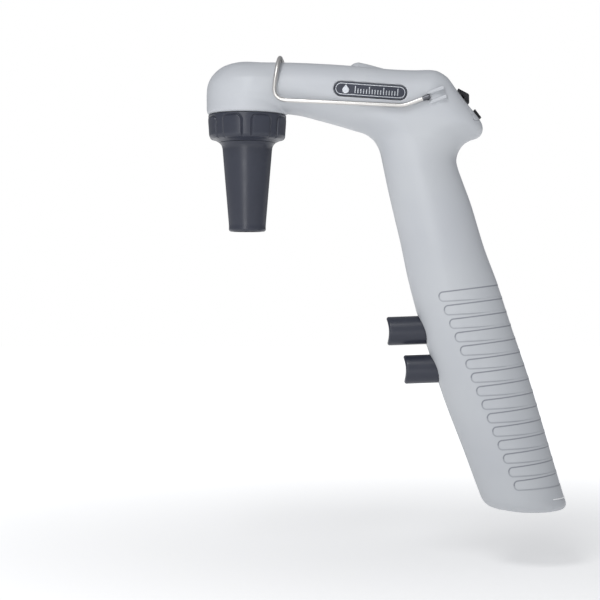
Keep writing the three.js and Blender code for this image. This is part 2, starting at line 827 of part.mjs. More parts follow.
function makeBattery() {
  const top = CELL_BOTTOM + CELL_LENGTH;
  for (const [i, [x, y]] of CELL_SPOTS.entries()) {
    const profile = [
      [0, CELL_BOTTOM],
      [CELL_RADIUS - 0.5, CELL_BOTTOM],
      [CELL_RADIUS, CELL_BOTTOM + 0.6],
      [CELL_RADIUS, top - 2],
      [CELL_RADIUS - 0.6, top - 1.2],
      [2.6, top - 1.2],
      [2.6, top],
      [0, top],
    ];
    const cell = turned(profile, 20);
    cell.translate(x, y, 0);
    part(`battery_cell_${i + 1}`, cell, cellSleeve, gripFrame);
  }
  const plate = oval(14, 14.5, 2.6, 16).map(([u, v]) => [u - 1, v]);
  const rings = [top + GAP, top + 2.3].map((z) => plate.map(([x, y]) => [x, y, z]));
  const spine = block([-15.6, -1.2, CELL_BOTTOM + 2], [-8.2, 1.2, top + 1]);
  const narrow = [-16.4, -14.9];
  const web = block([narrow[0], -3, CELL_BOTTOM + 2], [narrow[1], 3, top + 1]);
  const clearance = CELL_SPOTS.slice(0, 2).map(([x, y]) => {
    const room = post(CELL_RADIUS + GAP, CELL_BOTTOM - 1, top + GAP, 20);
    room.translate(x, y, 0);
    return solid(room);
  });
  const frame = union(solid(loft(rings)), cutAway(solid(spine), ...clearance), solid(web));
  part("cell_cradle", geometryOf(frame), blackPlastic, gripFrame);
}

// ---------------------------------------------------------------- rear controls

function makeControls() {
  const panel = cutAway(outerBody(), cavity()).intersect(panelSpace(GAP));
  const speedSlot = block([-1.3 - SPEED_TRAVEL - GAP, -1.4, -5], [1.3 + SPEED_TRAVEL + GAP, 1.4, 5]);
  const modeLow = MODE_OFFSET - 0.8 - GAP;
  const modeSlot = block([modeLow, -1.3, -5], [MODE_OFFSET + 0.8 + MODE_TRAVEL + GAP, 1.3, 5]);
  const slots = [speedSlot, modeSlot].map((slot) => solid(inFrame(slot, slopeFrame)));
  part("rear_panel", geometryOf(cutAway(panel, ...slots)), shellGrey);

  const ridge = new THREE.Shape();
  ridge.moveTo(-4.8, 0.35);
  ridge.lineTo(4.8, 0.35);
  ridge.lineTo(4.8, 0.8);
  ridge.lineTo(1.6, 2.9);
  ridge.lineTo(0.4, 2.9);
  ridge.lineTo(-4.8, 0.8);
  ridge.closePath();
  const cap = new THREE.ExtrudeGeometry(ridge, { depth: 9, bevelEnabled: false });
  cap.rotateX(Math.PI / 2);
  cap.translate(0, 4.5, 0);
  const speedStem = block([-1.2, -1, -3.6], [1.2, 1, 1]);
  part("speed_slider", geometryOf(union(solid(cap), solid(speedStem))), blackPlastic, slopeFrame);

  const tab = block([MODE_OFFSET - 2.8, -3.2, 0.1], [MODE_OFFSET + 2.8, 3.2, 0.95]);
  const modeStem = block([MODE_OFFSET - 0.7, -0.9, -3.6], [MODE_OFFSET + 0.7, 0.9, 0.5]);
  part("mode_slider", geometryOf(union(solid(tab), solid(modeStem))), blackPlastic, slopeFrame);
  part("speed_switch", block([-5.5, -3.5, -8.6], [5.5, 3.5, -3.9]), blackPlastic, slopeFrame);
  const modeCase = block([MODE_OFFSET - 4, -3, -7.6], [MODE_OFFSET + 3.4, 3, -3.9]);
  part("mode_switch", modeCase, blackPlastic, slopeFrame);

  const board = solid(block([-28, 7, 64.2], [3, 8.6, 79]));
  const chip = solid(block([-14, 5.8, 69], [-7, 7.2, 76]));
  const connector = solid(block([-20, 8.4, 65.2], [-9, 11.4, 69.5]));
  part("control_board", geometryOf(union(board, chip, connector)), boardGreen);
}

// ---------------------------------------------------------------- wire stand

// One leg's path in x and z, from the pivot to the crossbar.
function standPath() {
  const path = new THREE.CurvePath();
  const side = -LEG_Y;
  const v = (x, y, z) => new THREE.Vector3(x, y, z);
  const toward = (from, to, distance) => from.clone().lerp(to, distance / from.distanceTo(to));
  const corners = [
    v(PIVOT[0], -12.5, PIVOT[1]),
    v(PIVOT[0], side, PIVOT[1]),
    v(STAND_BEND[0], side, STAND_BEND[1]),
    v(STAND_CORNER[0], side, STAND_CORNER[1]),
    v(STAND_TOP[0], side, STAND_TOP[1]),
  ];
  const radii = [0, 2, 3, 8, 8];
  const mirrored = corners.slice(0, 5).reverse().map((p) => v(p.x, -p.y, p.z));
  const all = [...corners, ...mirrored];
  const bends = [...radii, ...radii.slice().reverse()];
  let from = all[0];
  for (let i = 1; i + 1 < all.length; i += 1) {
    const before = toward(all[i], all[i - 1], bends[i]);
    const after = toward(all[i], all[i + 1], bends[i]);
    path.add(new THREE.LineCurve3(from, before));
    path.add(new THREE.QuadraticBezierCurve3(before, all[i], after));
    from = after;
  }
  path.add(new THREE.LineCurve3(from, all.at(-1)));
  return path;
}

// Rings are set at each line's ends and along each bend, so straight stretches stay straight.
function standWire() {
  const points = [];
  for (const curve of standPath().curves) {
    const steps = curve.isLineCurve3 ? 1 : 3;
    for (let i = points.length ? 1 : 0; i <= steps; i += 1) points.push(curve.getPoint(i / steps));
  }
  const sides = 8;
  let normal = new THREE.Vector3(1, 0, 0);
  const rings = points.map((point, i) => {
    const ahead = points[Math.min(i + 1, points.length - 1)];
    const behind = points[Math.max(i - 1, 0)];
    const along = ahead.clone().sub(behind).normalize();
    normal = normal.clone().addScaledVector(along, -normal.dot(along)).normalize();
    const across = new THREE.Vector3().crossVectors(along, normal);
    return Array.from({ length: sides }, (_, k) => {
      const angle = (2 * Math.PI * k) / sides;
      const place = point
        .clone()
        .addScaledVector(normal, WIRE_RADIUS * Math.cos(angle))
        .addScaledVector(across, WIRE_RADIUS * Math.sin(angle));
      return place.toArray();
    });
  });
  return loft(rings);
}

function makeStand() {
  part("wire_stand", standWire(), steel);
  for (const [name, sign] of [["left", -1], ["right", 1]]) {
    const ends = sign < 0 ? [-18.9, -12] : [12, 18.9];
    const bore = rodY(WIRE_RADIUS + GAP, ...PIVOT, -30, 30);
    const bush = cutAway(solid(rodY(2.8, ...PIVOT, ...ends)), solid(bore));
    part(`stand_bush_${name}`, geometryOf(bush), brass);
  }
}

makeHousing();
makeTrim();
makeBatteryDoor();
makeSpigot();
makeCollar();
makeNose();
makeTrigger("upper", 0);
makeTrigger("lower", 1);
makeValveBlock();
makePump();
makeTubes();
makeLeads();
makeBattery();
makeControls();
makeStand();
root.add(gripFrame, triggerFrame, slopeFrame);

export default root;
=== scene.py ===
import json
from math import atan2, cos, pi, radians, sin, sqrt

import bpy
import numpy as np
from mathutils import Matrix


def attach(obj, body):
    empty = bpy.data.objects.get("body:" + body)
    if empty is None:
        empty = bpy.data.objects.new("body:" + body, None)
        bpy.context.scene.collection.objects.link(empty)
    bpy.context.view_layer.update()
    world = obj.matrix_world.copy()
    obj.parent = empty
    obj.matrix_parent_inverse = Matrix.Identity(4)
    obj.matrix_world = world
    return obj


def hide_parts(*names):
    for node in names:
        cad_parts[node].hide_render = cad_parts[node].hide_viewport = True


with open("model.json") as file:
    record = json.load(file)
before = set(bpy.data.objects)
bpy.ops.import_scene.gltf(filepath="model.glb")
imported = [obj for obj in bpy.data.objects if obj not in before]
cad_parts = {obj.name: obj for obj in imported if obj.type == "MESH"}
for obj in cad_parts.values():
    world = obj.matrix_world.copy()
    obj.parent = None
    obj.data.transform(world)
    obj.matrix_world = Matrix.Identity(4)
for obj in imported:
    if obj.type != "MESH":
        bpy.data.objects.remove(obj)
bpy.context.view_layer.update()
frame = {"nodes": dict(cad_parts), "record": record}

import openvdb
from mathutils import Vector
from numpy import hypot, maximum, minimum

MM = 0.001

# ------------ camera

VIEW_X, VIEW_Z = -30.2, -29.7  # the camera looks along +Y at this point of the middle plane
VIEW_DISTANCE = 850
LENS = 94.4
FRAME_SHIFT = (-0.135, -0.025)


def add_to_scene(name, data):
    made = bpy.data.objects.new(name, data)
    bpy.context.scene.collection.objects.link(made)
    return made


def make_camera():
    data = bpy.data.cameras.new("camera")
    data.lens = LENS
    data.shift_x, data.shift_y = FRAME_SHIFT
    data.clip_end = 50
    camera = add_to_scene("camera", data)
    camera.location = (VIEW_X * MM, -VIEW_DISTANCE * MM, VIEW_Z * MM)
    camera.rotation_euler = (pi / 2, 0, 0)
    bpy.context.scene.camera = camera


make_camera()

# ------------ sizes

WALL = 2.4
GAP = 0.3
PARTING = 0.02  # half of the hairline between the two shells
STEP = 0.6  # grid of the moulded shells
FINE_STEP = 0.35  # grid of the small moulded pieces

# Side outline of arm, spur and grip, as x and z. It starts inside the head and ends below the foot.
BODY_OUTLINE = [
    (-112, 75.5), (-109, 84.5), (-101, 89.5), (-90, 90), (-76, 89.8), (-58.6, 89), (-40, 87.7),
    (-24.9, 86.3), (-12.7, 85.8), (-3.6, 85.9), (0.4, 85.2), (3, 83.8), (5.6, 82), (8.3, 78.6),
    (10.3, 75.7), (15.8, 68.4), (20.1, 63.1), (23, 59.2), (24.6, 55.2), (24, 51.7), (21.8, 49.6),
    (18.2, 48.3), (14.5, 46.1), (11.6, 42), (10.5, 37.5), (11.3, 33.2), (13.9, 25.8), (18.2, 14),
    (25.4, -9.7), (33, -30.1), (39.8, -51), (49.6, -80), (58.7, -110.5), (67.4, -140.3), (76.2, -172),
    (34.8, -172), (22.8, -141.4), (14.5, -119.3), (3.6, -90.7), (-3.9, -67.6), (-10.2, -47.1),
    (-15.8, -25.7), (-19.7, -7), (-23.4, 8.6), (-26.6, 22.5), (-29.3, 35.3), (-30.9, 42.3),
    (-32.7, 46.2), (-35.2, 49.3), (-38.8, 51.8), (-44.8, 53.8), (-55.5, 57), (-65.1, 59.6),
    (-73.6, 61.8), (-84, 63.1), (-98, 63.6), (-108, 66),
]
# Half of the head's turned outline, as radius and z, from its top to its bottom.
HEAD_OUTLINE = [
    (6.4, 90), (13.9, 87.3), (18.9, 82.7), (21.1, 78.4), (21.8, 73.8), (21.8, 68), (21.7, 64),
    (21, 62.3), (18, 62.1), (8, 62.1),
]
HEAD_TOP = 90.5
HEAD_END = -66  # behind this x the head no longer shapes the arm
HEAD_MERGE = (64, 88, 8)  # head and arm melt together between these heights, fully after 8 mm
MERGE_LEAST, MERGE_MORE = 0.8, 6
NOZZLE_X = -102.4
NOZZLE_HOLE = (17.9, 66)  # radius and top
COLLAR_RADIUS = 20.8
PADS = 8
PAD_ANGLE = 29
PAD_TURN = 18.7
PAD_TOP = 60.2
PAD_HALF_HEIGHT = 15  # the pads run out over the collar's lower edge
PAD_CORNER = 2.6
PAD_RISE = 0.45
COLLAR_GROOVE, COLLAR_GROOVE_WIDTH = 0.5, 0.35  # around each pad
THREAD_PITCH, THREAD_DEPTH = 3, 1.1
THREAD_START, THREAD_END = 52.6, 62.4
# Foot: a shallow bow with its lowest point here.
FOOT_LOW = (51, -152.4)
FOOT_BOW = 0.0065
CROWN = 110  # the outline draws in by y * y over this, so that no face is flat across
FOOT_ROUND = 5

# Half width and edge rounding, blended from arm to grip over these heights.
ARM_WIDTHS = [
    (-108, 22), (-98, 21.6), (-90, 20.9), (-80, 20.4), (-60, 20.2), (0, 20.2), (10, 19.2), (18, 17),
    (23, 13.5), (27, 9.5),
]
GRIP_WIDTHS = [
    (-152, 19), (-141, 19.6), (-110, 20.2), (-75, 20.7), (-35, 20.6), (-8, 20.1), (20, 19.4),
    (40, 17.8), (52, 17.1), (66, 16.8),
]
ARM_ROUNDS = [(-100, 13), (-70, 12.5), (-40, 12), (0, 11), (14, 8), (24, 5.5)]
GRIP_ROUND = 18.5
BLEND_LOW, BLEND_HIGH = 47, 61
SECTION_POWER = 2.15

# Ribs: bars pressed into the sides and the rear of the grip.
RIBS = 15
RIB_START = (0.5, -36.05)
RIB_PITCH = (2.835, -7.126)
RIB_LEAN = radians(7)
RIB_HALF = 2.4
RIB_SPREAD = 0.034  # each bar widens by twice this share of its length, all on its lower side
RIB_SPREAD_END = 32
RIB_CORNER = 2.1
RIB_DEPTH = 0.3
RIB_REAR_DEPTH = 0.12
RIB_SIDE = (3, 13)  # the bars deepen between these distances from the middle plane
RIB_SHADE_FADE = (0.22, 0.5)  # the painted shade along a bar's edge fades out between these distances
# Colour of the painted shade along the bars' edges.
RIB_SHADE_COLOUR = (132, 135, 142)
RIB_LOWER_SHADE = 0.55  # the painted shade on a bar's lower edge, as a share of that on its upper edge

BADGE_CENTRE = (-35.8, 72.9)
BADGE_LENGTH, BADGE_HEIGHT = 38.4, 7.6
BADGE_LEAN = radians(-4)
BADGE_BACK, BADGE_FACE = 18.9, 20.35
BADGE_FLOOR = 18.6  # of the pocket in the shell

PIVOT = (-5.7, 69.2)
BUSH_RADIUS, BUSH_BORE = 2.75, 1.4
BUSH_START, BUSH_END = 12, 18.7
BUSH_POCKET = (3.1, 11.7, 19)  # radius, start and end
BUSH_SEAT = (4.6, 12)  # radius and start
WIRE_HOLE = 1.45
GUIDES = [(-1.3, 73), (0.1, 68.3)]
GUIDE_SIZE = (9.8, 2)
GUIDE_ROOT, GUIDE_FACE = 17, 21.4
GUIDE_LEAN = radians(21.5)
WIRE_RADIUS = 1.1
LEG_Y = 22.3
STAND_BEND, STAND_CORNER, STAND_TOP = (-18.1, 64.7), (-87.4, 67.9), (-84, 91.7)
STAND_REACHES = [0, 2, 3, 8, 15]  # how far before each corner its bend starts
STAND_END = 12.5  # the wire's ends stay this far from the middle plane
SLEEVE_CENTRE, SLEEVE_HALF = 0.8, 2.2  # along the wire, from the pivot
SLEEVE_RADIUS, SLEEVE_TAPER = 1.3, 0.15

SLOPE_POINT = (13.7, 71.7)
SLOPE_FALL = radians(52.6)
PANEL_START, PANEL_END, PANEL_HALF, PANEL_DEPTH = -14.6, 15.4, 13.5, 9.2
PANEL_CORNER = 3
PANEL_INSET = 0.06
SEAM = 0.07  # visible gap between moulded covers
MODE_OFFSET = 12.2
SPEED_SLOT = (4.6, 1.4)  # half length and half width of the slot under each slider
MODE_SLOT = (2.1, 1.3)
SLOT_CORNER = 0.6
SLIDER_BOTTOM = -3.6

TRIGGER_FRONT = (-27.4, -54.7)
TRIGGER_LEAN = radians(2)
TRIGGER_SPACING = 21
TRIGGER_SETBACK = 8.4
TRIGGER_RADIUS = 7.7
TRIGGER_LENGTH = 28
TRIGGER_HOLE = 34  # depth
SPRING_POCKET = (5, 16)  # radius, and where its floor lies
SADDLE_RADIUS, SADDLE_DEPTH = 20, 1.5
TRIGGER_RIM = 1.2
TRIGGER_SIDES = 128
PIN_HOLE = 0.4  # radius of the flat facet in the middle of each end

SCREWS = [
    (-76, 71, 15), (-36, 60.5, 14), (-4.2, -25.4, 14), (24, -92.5, 15), (54, -114, 8.6), (6.9, 56, 13.5),
]
SCREW_HEAD, SCREW_HEAD_HEIGHT = 2.2, 1.6
SCREW_POST = 3.2
SCREW_SHANK = 1.3
SCREW_PITCH = 0.9
CROSS_HALF_WIDTH, CROSS_HALF_LENGTH, CROSS_DEPTH = 0.32, 1.25, 1.1
SOCKET_PLACE = (14, -84)
SOCKET_RADIUS, SOCKET_BORE, SOCKET_PIN = 4, 2.8, 0.8
SOCKET_START, SOCKET_FACE = 11, 19.6
LAMP_X = -71
LAMP_RADIUS, LAMP_FOOT = 1.1, 2.2
LAMP_BOTTOM, LAMP_TOP = 85.2, 90.2
LAMP_FOOT_HEIGHT = 0.8
LAMP_DOME = (87.9, 2.3)  # centre's height and radius
LAMP_HOLE = 80  # the hole starts at this height

DOOR_CENTRE = 46.5
DOOR_HALF = (15.5, 13)
DOOR_FLOOR = -149.7
DOOR_SPLIT = 61
DOOR_CORNER = -143.8
DOOR_INSET, DOOR_SEAM = 0.08, 0.06
DOOR_TUCK = 1  # the door reaches this far under the shell, so that no gap shows
DOOR_SEAL = (61.3, -143.7, 0.3)  # start, height and half height of the pale seal that shows at the heel
SEAL_PROUD, SEAL_THICKNESS = 0.12, 1.2

# Teardrop hood on the arm: its half width along x, and how far it rises over the arm.
HOOD = [(-46.8, 1.2), (-45, 4.2), (-42.6, 5.4), (-38, 5.6), (-31, 4.4), (-26, 2)]
HOOD_RISE = [(-47.2, 0), (-45, 1.8), (-42.6, 2.6), (-38, 2), (-31, 0.8), (-26, 0)]
HOOD_FLOOR = 84.2

# ------------ field tools


def soft_max(a, b, k):
    share = np.clip(0.5 + 0.5 * (a - b) / k, 0, 1)
    return b + (a - b) * share + k * share * (1 - share)


def soft_min(a, b, k):
    return -soft_max(-a, -b, k)


def cut(body, tool, k):
    """body without the space of tool. Both are negative inside."""
    return soft_max(body, -tool, k)


def layer(value, low, high):
    """Negative between two planes."""
    return maximum(low - value, value - high)


def smooth_step(value, low, high):
    t = np.clip((value - low) / (high - low), 0, 1)
    return t * t * (3 - 2 * t)


def middle_and_half(low, high):
    return (low + high) / 2, (high - low) / 2


TABLE_STEPS = 16  # in the length that a table is blurred over, to either side


def table(rows, blur):
    """A function that runs smoothly through rows of (place, value)."""
    places, values = zip(*rows)
    fine = np.arange(places[0] - 4 * blur, places[-1] + 4 * blur, blur / TABLE_STEPS)
    raw = np.interp(fine, places, values)
    window = np.hanning(2 * TABLE_STEPS + 1)
    padded = np.pad(raw, TABLE_STEPS, mode="edge")
    smooth = np.convolve(padded, window / window.sum(), mode="valid")
    return lambda value: np.interp(value, fine, smooth)


LOOP_STEP = 0.5


def smooth_loop(points):
    """A closed centripetal Catmull-Rom curve through points, as dense points."""
    given = np.array(points, float)
    count = len(given)
    out = []
    for i in range(count):
        p = [given[(i + k - 1) % count] for k in range(4)]
        knots = [0.0]
        for a, b in zip(p, p[1:]):
            knots.append(knots[-1] + sqrt(np.linalg.norm(b - a)))
        steps = max(2, int(np.linalg.norm(p[2] - p[1]) / LOOP_STEP) + 1)
        t = np.linspace(knots[1], knots[2], steps, endpoint=False)[:, None]

        def between(a, b, low, high):
            return (a * (high - t) + b * (t - low)) / (high - low)

        lines = [between(p[k], p[k + 1], knots[k], knots[k + 1]) for k in range(3)]
        bows = [between(lines[k], lines[k + 1], knots[k], knots[k + 2]) for k in range(2)]
        out.append(between(*bows, knots[1], knots[2]))
    return np.vstack(out)


class FlatShape:
    """Signed depth inside a closed outline: positive inside, read from a grid by blending its cells."""

    CELL = 0.5
    BLOCK = 16  # cells across that are measured together, against the nearby outline only
    CALM = 11  # cells that the ridge is rounded over
    CALM_FROM, CALM_FULL = 2, 5  # depths

    def __init__(self, loop, low, high):
        self.low = np.array(low, float)
        shape = [int((b - a) / self.CELL) + 2 for a, b in zip(low, high)]
        u, v = (a + self.CELL * np.arange(n) for a, n in zip(low, shape))
        start, end = loop, np.roll(loop, -1, axis=0)
        gaps = np.empty(shape, np.float32)
        for i in range(0, shape[0], self.BLOCK):
            for j in range(0, shape[1], self.BLOCK):
                part = np.s_[i : i + self.BLOCK], np.s_[j : j + self.BLOCK]
                gaps[part] = self.gap(u[part[0]], v[part[1]], start, end)
        inside = np.stack([self.inside(u, height, start, end) for height in v], 1)
        self.depth = self.calm(np.where(inside, gaps, -gaps))

    def gap(self, u, v, start, end):
        middle = np.array([u.mean(), v.mean()])
        away = np.linalg.norm(start - middle, axis=1)
        near = away < away.min() + 2 * self.BLOCK * self.CELL
        start, along = start[near], (end - start)[near]
        du = u[:, None, None] - start[:, 0]
        dv = v[None, :, None] - start[:, 1]
        t = np.clip((du * along[:, 0] + dv * along[:, 1]) / (along**2).sum(1), 0, 1)
        return hypot(du - t * along[:, 0], dv - t * along[:, 1]).min(2)

    @staticmethod
    def inside(u, height, start, end):
        """Whether each u is inside the outline at this height, by counting the edges to one side."""
        crossed = (start[:, 1] > height) != (end[:, 1] > height)
        a, b = start[crossed], end[crossed]
        edges = np.sort(a[:, 0] + (b - a)[:, 0] * (height - a[:, 1]) / (b - a)[:, 1])
        return np.searchsorted(edges, u) % 2 == 1

    def calm(self, depth):
        """Rounds off the ridge where the nearest edge changes sides, away from the outline."""
        window = np.hanning(self.CALM + 2)[1:-1]
        window /= window.sum()
        half = self.CALM // 2
        soft = depth
        for axis in (0, 1):
            pad = [(half, half) if k == axis else (0, 0) for k in (0, 1)]
            wide = np.pad(soft, pad, mode="edge")
            size = soft.shape[axis]
            soft = sum(w * np.take(wide, range(i, i + size), axis=axis) for i, w in enumerate(window))
        share = smooth_step(depth, self.CALM_FROM, self.CALM_FULL)
        return (depth * (1 - share) + soft * share).astype(np.float32)

    def __call__(self, u, v):
        a = np.clip((u - self.low[0]) / self.CELL, 0, self.depth.shape[0] - 1.001)
        b = np.clip((v - self.low[1]) / self.CELL, 0, self.depth.shape[1] - 1.001)
        i, j = a.astype(int), b.astype(int)
        a, b = a - i, b - j
        d = self.depth
        near = d[i, j] * (1 - a) * (1 - b) + d[i + 1, j] * a * (1 - b)
        return near + d[i, j + 1] * (1 - a) * b + d[i + 1, j + 1] * a * b


def turned_axes(x, z, centre, lean):
    """Coordinates along and across a direction that leans up by lean from +X."""
    dx, dz = x - centre[0], z - centre[1]
    return dx * cos(lean) + dz * sin(lean), dz * cos(lean) - dx * sin(lean)


def stadium(x, z, centre, length, height, lean):
    u, v = turned_axes(x, z, centre, lean)
    return hypot(maximum(abs(u) - (length - height) / 2, 0), v) - height / 2


def round_corner(a, b, corner):
    """Where a and b both stay under corner, with the edge between them rounded by it."""
    return hypot(maximum(a, 0), maximum(b, 0)) + minimum(maximum(a, b), 0) - corner


def round_box(u, v, half_u, half_v, corner):
    return round_corner(abs(u) - half_u + corner, abs(v) - half_v + corner, corner)


def circle(x, z, centre, radius):
    return hypot(x - centre[0], z - centre[1]) - radius


# ------------ the moulded body as a field

body_depth = FlatShape(smooth_loop(BODY_OUTLINE), (-130, -156), (74, 96))
head_loop = smooth_loop([(0, HEAD_TOP)] + HEAD_OUTLINE + [(-r, z) for r, z in reversed(HEAD_OUTLINE)])
head_depth = FlatShape(head_loop, (-2, 56), (30, 96))
arm_width, grip_width = table(ARM_WIDTHS, 6), table(GRIP_WIDTHS, 12)
arm_round = table(ARM_ROUNDS, 6)
hood_half = table(HOOD, 1)


def outer(x, y, z):
    """Outside of the whole moulded body, without its details."""
    share = smooth_step(z, BLEND_LOW, BLEND_HIGH)
    width = grip_width(z) * (1 - share) + arm_width(x) * share
    rounding = GRIP_ROUND * (1 - share) + arm_round(x) * share
    inward = maximum(rounding - body_depth(x, z) + y * y / CROWN, 0)
    sideways = maximum(abs(y) - (width - rounding), 0)
    power = SECTION_POWER
    long_body = (inward**power + sideways**power) ** (1 / power) - rounding
    if x.min() < HEAD_END:
        head = -head_depth(hypot(x - NOZZLE_X, y), z)
        low, high, length = HEAD_MERGE
        reach = np.clip(minimum((z - low) / length, (high - z) / length), 0, 1)
        long_body = soft_min(long_body, head, MERGE_LEAST + MERGE_MORE * reach)
    foot = FOOT_LOW[1] + FOOT_BOW * (x - FOOT_LOW[0]) ** 2 + y * y / CROWN - z
    return soft_max(long_body, foot, FOOT_ROUND)


def ribs(x, z):
    """Negative inside the bars."""
    u, v = turned_axes(x, z, RIB_START, RIB_LEAN)
    step_u, step_v = turned_axes(*RIB_PITCH, (0, 0), RIB_LEAN)
    row = np.clip(np.round(v / step_v), 0, RIBS - 1)
    u, v = u - row * step_u, v - row * step_v
    spread = RIB_SPREAD * np.clip(u, 0, RIB_SPREAD_END)
    return round_corner(RIB_CORNER - u, abs(v + spread) - RIB_HALF - spread + RIB_CORNER, RIB_CORNER)


def trigger_holes(x, y, z):
    u, v = turned_axes(x, z, TRIGGER_FRONT, TRIGGER_LEAN)
    upper = maximum(hypot(v, y) - TRIGGER_RADIUS - GAP, u - TRIGGER_HOLE)
    lower = hypot(v + TRIGGER_SPACING, y) - TRIGGER_RADIUS - GAP
    return minimum(upper, maximum(lower, u - TRIGGER_SETBACK - TRIGGER_HOLE))


def panel_window(x, y, z, shrink=0.0):
    u, v = turned_axes(x, z, SLOPE_POINT, -SLOPE_FALL)
    middle, half = middle_and_half(PANEL_START, PANEL_END)
    flat = round_box(u - middle, y, half - shrink, PANEL_HALF - shrink, PANEL_CORNER)
    return maximum(flat, -v - PANEL_DEPTH)


def door_space(x, y, z, shrink=0.0, tuck=0):
    long, wide = DOOR_HALF
    oval = (hypot((x - DOOR_CENTRE) / (long - shrink), y / (wide - shrink)) - 1) * wide
    corner = maximum(DOOR_SPLIT - tuck - x, z - DOOR_CORNER + shrink)
    return minimum(maximum(oval, z - DOOR_FLOOR + shrink), corner)


def hood_plan(x, y, rows):
    """Negative inside the teardrop, between the ends of rows."""
    middle, half = middle_and_half(rows[0][0], rows[-1][0])
    return maximum(abs(y) - hood_half(x), abs(x - middle) - half)


def shell(x, y, z, side):
    """One half of the housing, on the side of +Y. side is 1 for the right half with its screw holes."""
    skin = outer(x, y, z)
    depth = RIB_REAR_DEPTH + (RIB_DEPTH - RIB_REAR_DEPTH) * smooth_step(y, *RIB_SIDE)
    grooves = soft_min(-ribs(x, z), skin + depth, 0.15)
    body = soft_max(skin, grooves, 0.25)
    for centre in GUIDES:
        flat = stadium(x, z, centre, *GUIDE_SIZE, GUIDE_LEAN)
        body = soft_min(body, soft_max(flat, layer(y, GUIDE_ROOT, GUIDE_FACE), 0.6), 0.3)
    body = cut(body, skin + WALL, 0.4)
    for *place, _ in SCREWS:
        body = soft_min(body, maximum(circle(x, z, place, SCREW_POST), skin + 1), 0.5)
    seat_radius, seat_start = BUSH_SEAT
    seat = maximum(maximum(circle(x, z, PIVOT, seat_radius), seat_start - y), skin + 1)
    body = soft_min(body, seat, 0.5)
    badge = stadium(x, z, BADGE_CENTRE, BADGE_LENGTH + 2 * GAP, BADGE_HEIGHT + 2 * GAP, BADGE_LEAN)
    bush_radius, bush_start, bush_end = BUSH_POCKET
    hole_radius, hole_top = NOZZLE_HOLE
    for space, rounding in (
        (maximum(badge, BADGE_FLOOR - y), 0.3),
        (maximum(circle(x, z, PIVOT, bush_radius), layer(y, bush_start, bush_end)), 0.2),
        (maximum(circle(x, z, PIVOT, WIRE_HOLE), bush_start - y), 0.15),
        (trigger_holes(x, y, z), 0.6),
        (panel_window(x, y, z), 0.1),
        (door_space(x, y, z), 0.05),
        (maximum(hood_plan(x, y, HOOD) - GAP, HOOD_FLOOR - z), 0.4),
        (maximum(hypot(x - NOZZLE_X, y) - hole_radius, z - hole_top), 0.4),
        (maximum(hypot(x - LAMP_X, y) - LAMP_RADIUS - GAP, LAMP_HOLE - z), 0.3),
    ):
        body = cut(body, space, rounding)
    for *place, recess in SCREWS:
        shank = circle(x, z, place, SCREW_SHANK + GAP)
        if side > 0:
            body = cut(body, shank, 0.2)
            body = cut(body, maximum(circle(x, z, place, SCREW_HEAD + GAP), recess - y), 0.5)
        else:
            body = cut(body, maximum(shank, y - recess + 2), 0.2)
    if side > 0:
        hole = circle(x, z, SOCKET_PLACE, SOCKET_RADIUS + GAP)
        body = cut(body, maximum(hole, SOCKET_START - 1 - y), 0.5)
    return soft_max(body, PARTING - y, 0.25)


def panel(x, y, z):
    skin = outer(x, y, z) + PANEL_INSET
    body = soft_max(cut(skin, skin + WALL, 0.4), panel_window(x, y, z, SEAM), 0.1)
    u, v = turned_axes(x, z, SLOPE_POINT, -SLOPE_FALL)
    body = cut(body, round_box(u, y, *SPEED_SLOT, SLOT_CORNER), 0.3)
    return cut(body, round_box(u - MODE_OFFSET - 1, y, *MODE_SLOT, SLOT_CORNER), 0.3)


def door(x, y, z):
    return soft_max(outer(x, y, z) + DOOR_INSET, door_space(x, y, z, DOOR_SEAM, DOOR_TUCK), 0.1)


# ------------ meshes


def new_object(name, points, faces, body, slot, replaced=None, look=None):
    """A smooth piece from points in millimetres. faces is an array, or a list of lists of any length."""
    mesh = bpy.data.meshes.new(name)
    places = np.asarray(points, float) * MM
    if isinstance(faces, np.ndarray):
        count, sides = faces.shape
        mesh.vertices.add(len(places))
        mesh.vertices.foreach_set("co", places.ravel())
        mesh.loops.add(count * sides)
        mesh.loops.foreach_set("vertex_index", faces.astype(np.int32).ravel())
        mesh.polygons.add(count)
        mesh.polygons.foreach_set("loop_start", np.arange(0, count * sides, sides, dtype=np.int32))
        mesh.update(calc_edges=True)
    else:
        mesh.from_pydata(places.tolist(), [], faces)
    mesh.validate()
    mesh.shade_smooth()
    piece = add_to_scene(name, mesh)
    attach(piece, body)
    if replaced:
        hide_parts(replaced)
    paint(piece, look or LOOKS[slot])
    return piece


SLAB = 24  # grid planes worked out together
PROBE = 0.03  # how far apart the field is read for its slope


def surface_of(field, low, high, step):
    """Quads on the field's zero surface, pulled onto it."""
    axes = [np.arange(a - step, b + 2 * step, step, dtype=np.float32) for a, b in zip(low, high)]
    values = np.empty([len(a) for a in axes], np.float32)
    for start in range(0, len(axes[0]), SLAB):
        slab = slice(start, start + SLAB)
        values[slab] = field(axes[0][slab, None, None], axes[1][None, :, None], axes[2][None, None, :])
    reach = 3 * step
    grid = openvdb.FloatGrid(reach)
    grid.copyFromArray(np.clip(values, -reach, reach))
    points, quads = grid.convertToQuads(isovalue=0.0)
    points = points.astype(float) * step + [a[0] for a in axes]
    here = field(*points.T)
    slope = np.stack([field(*(points + d).T) - here for d in np.eye(3) * PROBE], 1) / PROBE
    slope /= maximum((slope**2).sum(1), 0.05)[:, None]
    for _ in range(3):
        points -= np.clip(here, -step / 2, step / 2)[:, None] * slope
        here = field(*points.T)
    return points, quads


def place_in(points, centre, lean):
    """Points given along, across (y) and out of a leaning direction, as x, y, z."""
    u, y, v = np.asarray(points).T
    x = centre[0] + u * cos(lean) - v * sin(lean)
    z = centre[1] + u * sin(lean) + v * cos(lean)
    return np.stack([x, y, z], 1)


